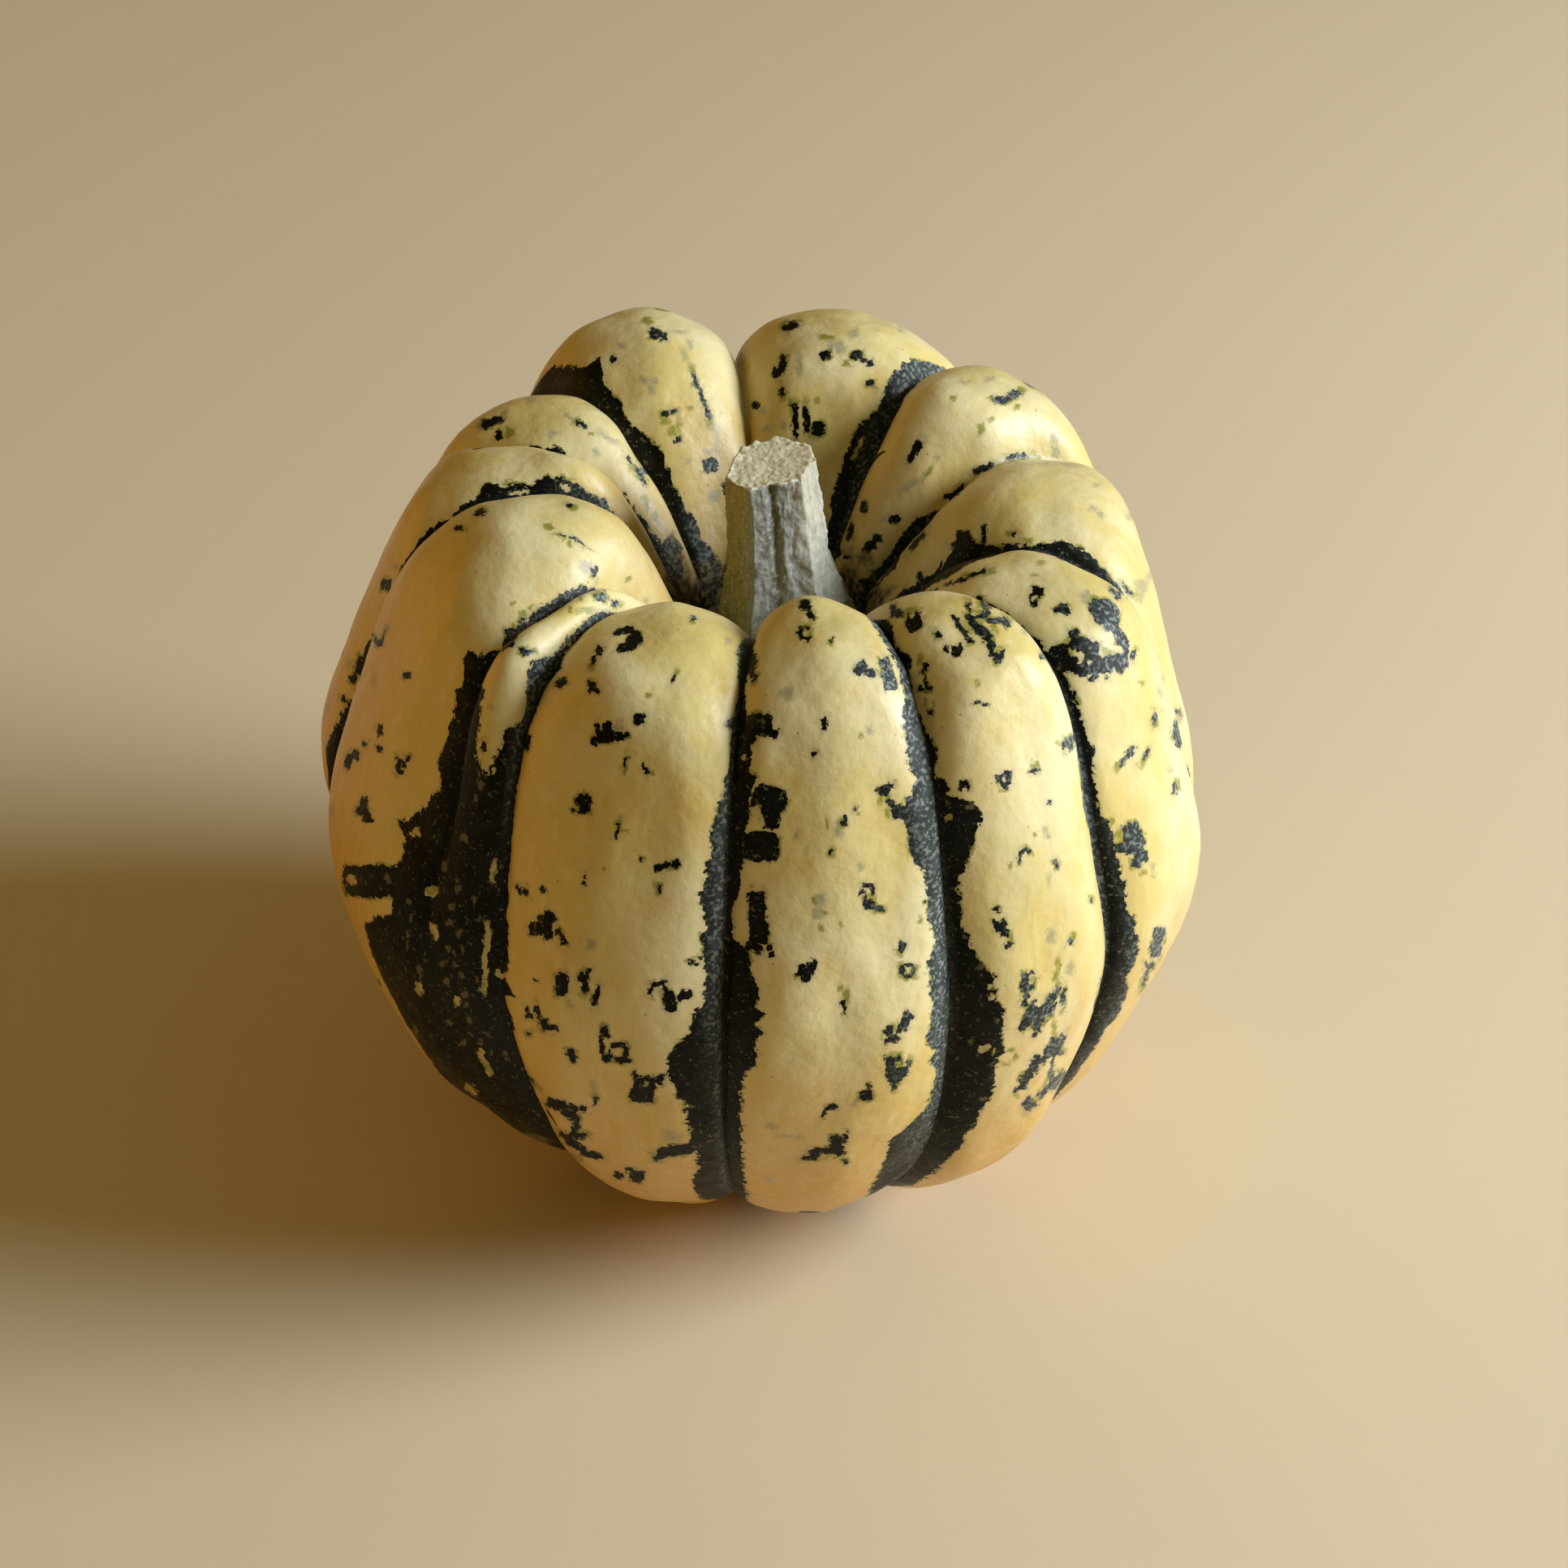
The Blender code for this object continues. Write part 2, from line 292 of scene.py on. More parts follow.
def add_ringed_post(name, sides, steps):
    """A closed post with its side cut into steps, and the row and turn of each vertex.

    Row 0 is the middle of the top, row 1 the top ring and row steps + 2 the middle of the foot.
    """
    bpy.ops.object.select_all(action="DESELECT")
    bpy.ops.mesh.primitive_cylinder_add(vertices=sides, radius=1.0, depth=2.0,
                                        end_fill_type="TRIFAN")
    post = bpy.context.object
    post.name = post.data.name = name
    parts = next(n for n in range(1, steps) if steps % n == 0 and steps // n <= MOST_CUTS)
    for pieces in (steps // parts, parts):
        if pieces > 1:
            select_upright_edges(post.data)
            bpy.ops.object.mode_set(mode="EDIT")
            bpy.ops.mesh.subdivide(number_cuts=pieces - 1)
            bpy.ops.object.mode_set(mode="OBJECT")
    start = vertex_places(post)
    row = np.rint((1.0 - start[:, 2]) / 2.0 * steps).astype(int) + 1
    middle = np.hypot(start[:, 0], start[:, 1]) < 0.5
    row[middle] = np.where(start[middle, 2] > 0.0, 0, steps + 2)
    return post, row, np.arctan2(start[:, 1], start[:, 0])


def vertex_places(obj):
    place = np.zeros(len(obj.data.vertices) * 3)
    obj.data.vertices.foreach_get("co", place)
    return place.reshape(-1, 3)


def set_vertex_places(obj, place):
    obj.data.vertices.foreach_set("co", place.ravel())
    obj.data.update()


# %% Draw the rings onto the ribs
skin_grid = np.stack([skin_line(rib, place, stations)
                      for rib, place in zip(column_rib, column_place)], axis=1)


def skin_table():
    """Every row of the skin, from the crater floor's middle to the blossom end's middle."""
    def ring(radius, height, like):
        ways = like[:, :2] / np.linalg.norm(like[:, :2], axis=1)[:, None]
        return np.column_stack([ways * radius, np.full(columns, float(height))])

    floor = [ring(radius, CREST_OUTLINE[0, 1], skin_grid[0]) for radius in FLOOR_RADII]
    scar = [ring(radius, height, skin_grid[-1]) for radius, height in SCAR_ROWS]
    return np.concatenate([np.stack(floor), skin_grid, np.stack(scar)])


def add_skin_mesh():
    """The squash's skin, still without its lumps, and the row and column of each vertex."""
    skin, row, turn = add_ringed_post("squash_skin", columns, rows - 3)
    step = math.tau / columns
    on_ring = (row > 0) & (row < rows - 1)
    column = np.rint((turn - turn[on_ring][0]) / step).astype(int) % columns
    place = skin_table()[row, column]
    place[:, :2] += AXIS
    set_vertex_places(skin, place * MM)
    return skin, row - first_row, column


skin, vertex_row, vertex_column = add_skin_mesh()
print("skin", len(skin.data.vertices), "vertices")

# %% [markdown]
# ## Lumps
#
# No rib is a clean curve. It swells and sinks every centimetre or two, long shallow flutes run
# down it, and the skin between is slightly pebbled, which breaks up the highlights. Real geometry
# carries all three, pushed along the normals by smooth noise, and the material's bump adds fine
# pebbling and shallow dents. The push leans inward, so that the skin stays in the plain model's
# own box.

# %% Push the skin out and in
Lump = namedtuple("Lump", "size height upright")  # millimetres, and share of the size upright
LUMPS = (Lump(16.0, 0.55, 0.6), Lump(7.0, 0.58, 0.24), Lump(4.2, 0.2, 0.4), Lump(2.2, 0.06, 0.8))
LUMP_SEED = Vector((3.1, 7.7, 1.3))
INWARD = 0.12  # millimetres
LUMPS_FROM, LUMPS_TO = (0.0, 1.0), (8.4, 9.0)  # stations where they rise and fade


def vertex_normals(obj):
    normal = np.zeros(len(obj.data.vertices) * 3)
    obj.data.vertex_normals.foreach_get("vector", normal)
    return normal.reshape(-1, 3)


def push_lumps(obj):
    place, normal = vertex_places(obj), vertex_normals(obj)
    push = np.full(len(place), -INWARD)
    for lump in LUMPS:
        scaled = place / MM / lump.size
        scaled[:, 2] *= lump.upright
        push += lump.height * np.array([noise.noise(Vector(point) + LUMP_SEED) for point in scaled])
    on_ribs = (vertex_row >= 0) & (vertex_row < OUTLINE_ROWS)
    station = stations[np.clip(vertex_row, 0, OUTLINE_ROWS - 1)]
    push *= on_ribs * smooth_step(*LUMPS_FROM, station) * (1.0 - smooth_step(*LUMPS_TO, station))
    place += normal * (push * MM)[:, None]
    set_vertex_places(obj, np.clip(place, cad_box[0], cad_box[1]))
    return push


push = push_lumps(skin)
bpy.ops.object.shade_smooth()
print("lumps from", round(push.min(), 2), "to", round(push.max(), 2), "mm")

# %% [markdown]
# ## The stripes
#
# A dark green stripe lies in each crease and frays out onto the ribs on both sides. Its edges are
# read off the photograph as pixels and cast onto the skin, which gives the stripe's width on each
# side of the crease at each station. The hidden creases get widths of the same kind. The result is
# one number for each vertex, the distance in millimetres to the stripe's edge, below zero inside.
# The material draws the ragged edge from it. Painting an image would look the same from one side
# only, and this holds all round.

# %% Distance of each vertex from the creases on both sides of its rib
def crease_distances():
    """Arc length in millimetres from each grid point to its rib's own crease and to the next."""
    after = np.roll(skin_grid, -1, axis=1)
    steps = np.linalg.norm(after - skin_grid, axis=2)
    own, following = np.zeros(steps.shape), np.zeros(steps.shape)
    for index in range(len(RIBS)):
        members = np.flatnonzero(column_rib == index)
        walked = np.cumsum(steps[:, members], axis=1)
        own[:, members[1:]] = walked[:, :-1]
        following[:, members] = walked[:, -1:] - own[:, members]
    return own, following


from_own_crease, to_next_crease = crease_distances()
print("widest rib", round(float((from_own_crease + to_next_crease).max()), 1), "mm")

# %% Edges of the stripes in the photograph
# Crease 0 is the front one, and the numbers grow to the right, as the ribs' do. "left" is the
# edge on the rib left of the crease.
STRIPE_EDGES = {
    (0, "left"): (
        (909, 800), (910, 860), (909, 880), (904, 900), (904, 925), (902, 938), (900, 945),
        (896, 955), (893, 962), (891, 972), (889, 980), (886, 990), (885, 1000), (884, 1008),
        (880, 1015), (878, 1022), (875, 1030), (877, 1035), (873, 1040), (872, 1050),
        (873, 1058), (870, 1068), (871, 1078), (866, 1088), (864, 1095), (860, 1102),
        (863, 1110), (864, 1120), (861, 1128), (866, 1137), (867, 1145), (866, 1155),
        (868, 1163), (866, 1172), (867, 1180), (870, 1188), (868, 1197), (871, 1205),
        (869, 1215), (866, 1228), (863, 1238), (860, 1243), (856, 1250), (851, 1258),
        (847, 1268), (845, 1278), (840, 1285), (832, 1292), (826, 1298), (824, 1308),
        (823, 1318), (821, 1326), (828, 1332), (832, 1340), (834, 1348), (838, 1352),
        (841, 1358), (842, 1365), (846, 1370), (849, 1376), (850, 1383), (849, 1388),
        (853, 1395), (850, 1400), (852, 1408), (856, 1418), (862, 1424), (862, 1430),
        (858, 1438), (857, 1448), (850, 1454)),
    (0, "right"): (
        (919, 850), (922, 870), (924, 885), (924, 915), (926, 935), (928, 950), (930, 962),
        (926, 980), (922, 1000), (920, 1030), (917, 1057), (914, 1065), (915, 1078),
        (911, 1090), (908, 1100), (905, 1120), (903, 1140), (902, 1155), (912, 1162),
        (921, 1170), (924, 1185), (927, 1200), (930, 1215), (932, 1222), (931, 1228),
        (936, 1240), (939, 1248), (937, 1262), (937, 1272), (935, 1281), (930, 1288),
        (935, 1295), (938, 1302), (934, 1312), (937, 1319), (922, 1318), (913, 1313),
        (912, 1320), (913, 1335), (917, 1352), (916, 1362), (911, 1372), (912, 1385),
        (914, 1400), (913, 1420), (915, 1440), (918, 1460), (917, 1480)),
    (1, "left"): (
        (1072, 764), (1082, 780), (1088, 790), (1096, 800), (1107, 820), (1111, 840),
        (1115, 860), (1112, 880), (1114, 890), (1118, 905), (1120, 925), (1121, 945),
        (1126, 955), (1127, 962), (1122, 975), (1118, 985), (1119, 993), (1112, 1005),
        (1115, 1015), (1117, 1022), (1119, 1040), (1119, 1058), (1130, 1062), (1136, 1075),
        (1138, 1090), (1141, 1110), (1144, 1130), (1147, 1150), (1149, 1170), (1148, 1183),
        (1149, 1200), (1150, 1220), (1149, 1240), (1146, 1258), (1142, 1275), (1143, 1283),
        (1149, 1288), (1150, 1297), (1147, 1308), (1148, 1316), (1153, 1324), (1152, 1335),
        (1146, 1345), (1142, 1360), (1135, 1370), (1125, 1383), (1110, 1393), (1100, 1405),
        (1090, 1425), (1085, 1445), (1075, 1460)),
    (1, "right"): (
        (1093, 765), (1100, 785), (1104, 800), (1117, 810), (1120, 820), (1121, 832),
        (1123, 845), (1126, 858), (1130, 872), (1134, 882), (1140, 893), (1147, 902),
        (1152, 912), (1152, 922), (1157, 930), (1160, 936), (1150, 937), (1149, 945),
        (1150, 955), (1152, 962), (1160, 963), (1166, 961), (1170, 968), (1173, 977),
        (1176, 987), (1182, 988), (1187, 983), (1195, 985), (1200, 990), (1204, 998),
        (1205, 1010), (1207, 1018), (1205, 1024), (1200, 1030), (1199, 1040), (1196, 1047),
        (1191, 1052), (1191, 1065), (1187, 1072), (1186, 1080), (1180, 1084), (1180, 1095),
        (1181, 1110), (1182, 1125), (1183, 1135), (1188, 1145), (1191, 1153), (1196, 1163),
        (1200, 1170), (1205, 1178), (1210, 1185), (1214, 1192), (1217, 1199), (1228, 1198),
        (1230, 1204), (1236, 1205), (1232, 1212), (1230, 1222), (1232, 1232), (1236, 1240),
        (1237, 1252), (1234, 1260), (1232, 1270), (1238, 1275), (1236, 1285), (1238, 1296),
        (1233, 1302), (1232, 1312), (1228, 1316), (1229, 1325), (1224, 1335), (1222, 1345),
        (1220, 1355), (1214, 1360), (1205, 1362), (1209, 1370), (1205, 1378), (1203, 1385),
        (1195, 1392), (1192, 1400), (1190, 1405), (1180, 1408), (1177, 1415), (1170, 1425)),
    (2, "left"): (
        (1337, 1005), (1341, 1018), (1346, 1032), (1350, 1045), (1352, 1060), (1353, 1075),
        (1356, 1095), (1357, 1110), (1359, 1125), (1361, 1140), (1362, 1155), (1366, 1172),
        (1368, 1182), (1366, 1195), (1367, 1207), (1365, 1220), (1362, 1238), (1358, 1255),
        (1355, 1270), (1352, 1280), (1349, 1290)),
    (2, "right"): (
        (1337, 898), (1340, 908), (1345, 920), (1348, 930), (1345, 940), (1348, 944),
        (1348, 955), (1347, 965), (1349, 980), (1352, 990), (1357, 998), (1358, 1006),
        (1365, 1009), (1370, 1020), (1371, 1035), (1374, 1045), (1375, 1053), (1376, 1063),
        (1381, 1073), (1384, 1083), (1386, 1092), (1382, 1102), (1386, 1112), (1392, 1119),
        (1395, 1128), (1399, 1140), (1401, 1155), (1401, 1170), (1399, 1182), (1395, 1190),
        (1391, 1200), (1390, 1215), (1387, 1228), (1383, 1238), (1380, 1250), (1370, 1258),
        (1363, 1267)),
    (3, "left"): ((1165, 714), (1180, 704), (1195, 694), (1210, 690), (1225, 686), (1238, 681)),
    (3, "right"): (
        (1110, 730), (1120, 722), (1140, 715), (1150, 707), (1158, 700), (1160, 690),
        (1172, 682), (1178, 672), (1180, 662), (1190, 656), (1200, 668), (1204, 672),
        (1217, 672), (1240, 674), (1270, 673), (1295, 669), (1310, 667), (1325, 673),
        (1340, 682), (1352, 692)),
    (4, "left"): ((1068, 745), (1080, 728), (1090, 712), (1102, 702), (1108, 690), (1112, 675),
                  (1118, 660), (1124, 652), (1135, 642)),
    (4, "right"): ((1052, 722), (1062, 712), (1080, 703), (1092, 690), (1102, 676), (1110, 665),
                   (1117, 655), (1122, 648), (1134, 636)),
    (5, "left"): (
        (1140, 465), (1125, 478), (1115, 490), (1108, 505), (1103, 520), (1100, 540),
        (1093, 555), (1088, 568), (1080, 575), (1068, 583), (1062, 592), (1058, 606),
        (1052, 616), (1050, 630), (1045, 643), (1038, 655), (1033, 668), (1028, 680)),
    (5, "right"): (
        (1128, 442), (1118, 446), (1110, 455), (1097, 463), (1095, 475), (1092, 483),
        (1088, 492), (1082, 503), (1075, 512), (1068, 520), (1060, 526), (1052, 530),
        (1050, 540), (1046, 552), (1040, 562), (1036, 572), (1033, 582), (1030, 595),
        (1027, 608), (1022, 622), (1020, 638), (1018, 655), (1018, 670)),
    (7, "left"): (
        (680, 452), (695, 452), (712, 457), (722, 452), (730, 444), (741, 438), (742, 452),
        (738, 461), (742, 472), (753, 478), (760, 487), (767, 500), (771, 512), (777, 521),
        (787, 527), (799, 538), (805, 548), (817, 556), (819, 572), (824, 582), (831, 600),
        (838, 614), (846, 624), (854, 634), (858, 648), (863, 661), (870, 668), (878, 682),
        (886, 690)),
    (8, "left"): ((700, 556), (740, 587), (770, 611), (792, 644), (803, 656), (815, 667),
                   (825, 679), (835, 690), (845, 700), (858, 707), (870, 710)),
    (9, "left"): (
        (514, 672), (520, 658), (528, 650), (540, 643), (550, 637), (560, 630), (572, 624),
        (582, 616), (586, 608), (598, 600), (601, 594), (612, 592), (620, 596), (626, 601),
        (640, 599), (657, 598), (660, 590), (670, 588), (685, 589), (700, 591), (710, 595),
        (722, 601), (735, 608), (745, 615), (752, 626), (762, 637), (772, 640), (778, 650),
        (783, 660), (790, 672), (798, 685), (806, 697), (815, 710), (822, 722), (832, 735)),
    (10, "left"): (
        (648, 762), (636, 770), (624, 785), (617, 799), (602, 801), (592, 809), (586, 808),
        (577, 797), (562, 797), (566, 805), (572, 812), (575, 820), (568, 828), (578, 834),
        (575, 842), (571, 850), (563, 856), (561, 866), (564, 876), (559, 886), (553, 893),
        (548, 902), (552, 911), (545, 914), (538, 921), (550, 928), (550, 934), (542, 937),
        (534, 942), (542, 948), (539, 956), (542, 966), (541, 974), (532, 981), (526, 990),
        (522, 998), (512, 1004), (502, 1008), (490, 1010), (485, 1016), (492, 1028),
        (500, 1034), (505, 1040), (500, 1047), (497, 1056), (494, 1063), (485, 1069),
        (472, 1073), (484, 1104), (483, 1114), (479, 1124), (466, 1130), (450, 1138),
        (450, 1150), (455, 1165)),
    (10, "right"): ((625, 775), (604, 810), (596, 850), (592, 893), (591, 905), (589, 918),
                    (585, 925), (586, 935), (590, 942), (594, 950), (600, 955)),
    (11, "left"): (
        (739, 760), (728, 767), (720, 770), (712, 780), (703, 785), (697, 792), (690, 796),
        (683, 803), (672, 812), (660, 816), (652, 830), (650, 840), (648, 850), (650, 861),
        (646, 875), (641, 887), (632, 896), (625, 902), (617, 900), (616, 912), (617, 925),
        (613, 938), (608, 950), (603, 955)),
    (11, "right"): (
        (757, 755), (745, 762), (735, 768), (722, 778), (712, 788), (703, 797), (697, 806),
        (693, 815), (690, 822), (684, 832), (680, 840), (676, 848), (668, 856), (664, 863),
        (661, 875), (657, 892), (652, 901), (648, 908), (645, 920), (644, 935), (640, 955),
        (636, 965), (634, 975), (631, 985), (630, 995), (628, 1010), (627, 1025), (625, 1040),
        (624, 1050), (620, 1057), (620, 1070), (621, 1085), (625, 1095), (628, 1105),
        (627, 1115), (621, 1122), (623, 1130), (626, 1140), (627, 1155), (628, 1185),
        (626, 1193), (616, 1199), (613, 1206), (624, 1207), (632, 1216), (633, 1226),
        (623, 1231), (626, 1243), (631, 1254), (634, 1268), (627, 1276), (628, 1286),
        (631, 1300), (636, 1312), (640, 1325), (645, 1345), (643, 1355), (652, 1375),
        (660, 1386), (670, 1397), (683, 1412), (700, 1426)),
}
DARK_RIB = 10
DARK_RIB_FROM = (606, 950)  # pixel below which the whole rib is dark
MM_PER_STATION = 9.0
# Where the photograph doesn't show a stripe, its width in millimetres at stations.
HIDDEN_STATIONS = (0.0, 2.0, 3.0, 4.0, 5.0, 6.0, 7.0, 8.0, 9.0)
HIDDEN_WIDTHS = (0.4, 0.7, 0.9, 1.6, 2.8, 3.6, 3.8, 2.6, 1.4)
# How much wider or narrower each hidden side is.
HIDDEN_SHARES = {(3, "left"): 0.7, (3, "right"): 0.9, (4, "left"): 1.1, (4, "right"): 0.8,
                 (5, "left"): 1.5, (5, "right"): 1.0, (6, "left"): 0.7, (6, "right"): 0.8,
                 (7, "left"): 1.4, (7, "right"): 1.1, (8, "left"): 0.8, (8, "right"): 0.7,
                 (9, "left"): 0.9, (9, "right"): 1.0}
STATION_GAP = 0.5  # stations between the last edge that was read and the first hidden width
TEETH = ((1.9, 0.9), (5.0, 0.5), (14.0, 0.35))  # how many a station, and share of the width
KNOT_GAP = 0.055  # stations, within which two readings of an edge count as one
TOP_WIDTH, SCAR_WIDTH = 0.35, 1.6  # millimetres at both ends of a stripe
BARE_CREASE, BARE_TO, BARE_WIDTH = 6, 3.8, -1.0  # the crease with no stripe down to a station
PLAIN_SKIN = 2.0  # millimetres to a stripe's edge that the crater floor and the scar are given


# %% Cast the stripe edges onto the skin
def cast_on_skin(x, y):
    """Point of the skin, and its normal, under a pixel of the photograph, or None past its edge."""
    hit, place, normal, _ = skin.ray_cast(*pixel_ray(x, y))
    return (place, normal) if hit else None


def nearest_grid_point(place):
    """Row and column of the skin grid nearest to a point in metres."""
    target = np.array(place) / MM - np.array([AXIS[0], AXIS[1], 0.0])
    flat = np.argmin(np.sum((skin_grid - target) ** 2, axis=2))
    return divmod(int(flat), columns)


def read_edge(crease, side, pixels):
    """Stations and widths of one side of a stripe, sorted down the skin."""
    rib = crease if side == "right" else (crease - 1) % len(RIBS)
    found = []
    for x, y in pixels:
        cast = cast_on_skin(x, y)
        if cast is None:
            continue
        row, column = nearest_grid_point(cast[0])
        width = 0.0
        if column_rib[column] == rib:
            widths = from_own_crease if side == "right" else to_next_crease
            width = widths[row, column]
        found.append((stations[row], width))
    close = np.rint([station / KNOT_GAP for station, _ in found])
    return [tuple(np.mean([knot for knot, group in zip(found, close) if group == one], axis=0))
            for one in sorted(set(close))]


def stripe_widths(crease, side):
    """Width of a stripe at every row, on one side of its crease."""
    knots = [(0.0, TOP_WIDTH)]
    if crease == BARE_CREASE:
        knots = [(0.0, BARE_WIDTH), (BARE_TO, BARE_WIDTH)]
    pixels = STRIPE_EDGES.get((crease, side))
    if pixels:
        knots += read_edge(crease, side, pixels)
        if (crease, side) not in HIDDEN_SHARES:
            knots.append((LAST_STATION, SCAR_WIDTH))
    if (crease, side) in HIDDEN_SHARES:
        share = HIDDEN_SHARES[crease, side]
        start = knots[-1][0] + STATION_GAP
        for station in np.arange(start, LAST_STATION, 0.1):
            width = np.interp(station, HIDDEN_STATIONS, HIDDEN_WIDTHS) * share
            for teeth, height in TEETH:
                ripple = noise.noise(Vector((station * teeth, crease * 7.3, len(side))))
                width *= 1.0 + height * ripple
            knots.append((station, width))
    return np.interp(stations, [knot[0] for knot in knots], [knot[1] for knot in knots])


def stripe_field():
    """Millimetres from each grid point to the nearest stripe edge, below zero inside it."""
    field = np.zeros(skin_grid.shape[:2])
    for index in range(len(RIBS)):
        members = column_rib == index
        own = stripe_widths(index, "right")[:, None]
        following = stripe_widths((index + 1) % len(RIBS), "left")[:, None]
        field[:, members] = np.minimum(from_own_crease[:, members] - own,
                                       to_next_crease[:, members] - following)
    dark_row = nearest_grid_point(cast_on_skin(*DARK_RIB_FROM)[0])[0]
    above = (stations[dark_row] - stations)[:, None] * MM_PER_STATION
    dark_columns = column_rib == DARK_RIB
    field[:, dark_columns] = np.minimum(field[:, dark_columns], above)
    return field


def spread_to_vertices(grid, fill):
    """A value for each vertex of the skin from a value for each point of the grid."""
    inside = (vertex_row >= 0) & (vertex_row < OUTLINE_ROWS)
    values = np.full(len(vertex_row), fill)
    values[inside] = grid[vertex_row[inside], vertex_column[inside]]
    return values


def store_on_vertices(obj, name, values):
    attribute = obj.data.attributes.new(name, "FLOAT", "POINT")
    attribute.data.foreach_set("value", values.astype(np.float32))


stripes = stripe_field()
store_on_vertices(skin, "stripe", spread_to_vertices(stripes, PLAIN_SKIN))
print("share of the skin in stripes", round(float((stripes < 0).mean()), 2))

# %% [markdown]
# ## Painted sheen and warm shade
#
# The light isn't the same all round this squash. On its right, towards the window, the green
# gets a painted blue-grey sheen, and on its left and low down the cream gets a painted warm shade
# in gold. Both fade over the skin by the way it faces, so each vertex keeps how much it faces that
# way. A gradient along X would run through the creases too, where the skin faces elsewhere.

# %% Which way the skin faces
# Painted sheen: where the skin faces the window, the green gets a grey tint that stands for its
# reflection.
PAINTED_SHEEN_SIDE = ((1.0, 0.0, 0.25), 0.15, 0.8)  # a way, and the facing where it starts and is full
# Painted warm shade: where the skin faces left and down, away from the window, the cream turns gold.
WARM_SHADE_SIDE = ((-1.0, 0.0, -0.2), -0.1, 1.0)
WARM_SHADE_SHARE = 0.9


def facing(obj, way, start, end):
    """How much each vertex faces a way, from 0 to 1."""
    way = np.array(way) / np.linalg.norm(way)
    return smooth_step(start, end, vertex_normals(obj) @ way)


painted_sheen_share = facing(skin, *PAINTED_SHEEN_SIDE)
warm_shade_share = facing(skin, *WARM_SHADE_SIDE) * WARM_SHADE_SHARE
store_on_vertices(skin, "painted_sheen", painted_sheen_share)
store_on_vertices(skin, "warm_shade", warm_shade_share)
print("mean bloom", round(float(painted_sheen_share.mean()), 2), "warm_shade_mean", round(float(warm_shade_share.mean()), 2))

# %% [markdown]
# ## The flecks
#
# Between the stripes each rib is sprinkled with dark green flecks, blocky and ragged, some like
# hooks or rings, some fringed with yellow-green, and with faint grey ones that lie under the skin.
# A fleck is a rounded block: where its middle is, how wide, how high, how far turned. Hooks, rings
# and bigger marks are made of a few blocks. Each corner of a face stores where it lies from the
# middle of the flecks nearest to it, up to four, and the material draws the ragged block from that.
# So the flecks are sharper than the mesh. Cutting them into the mesh would need millions of faces.

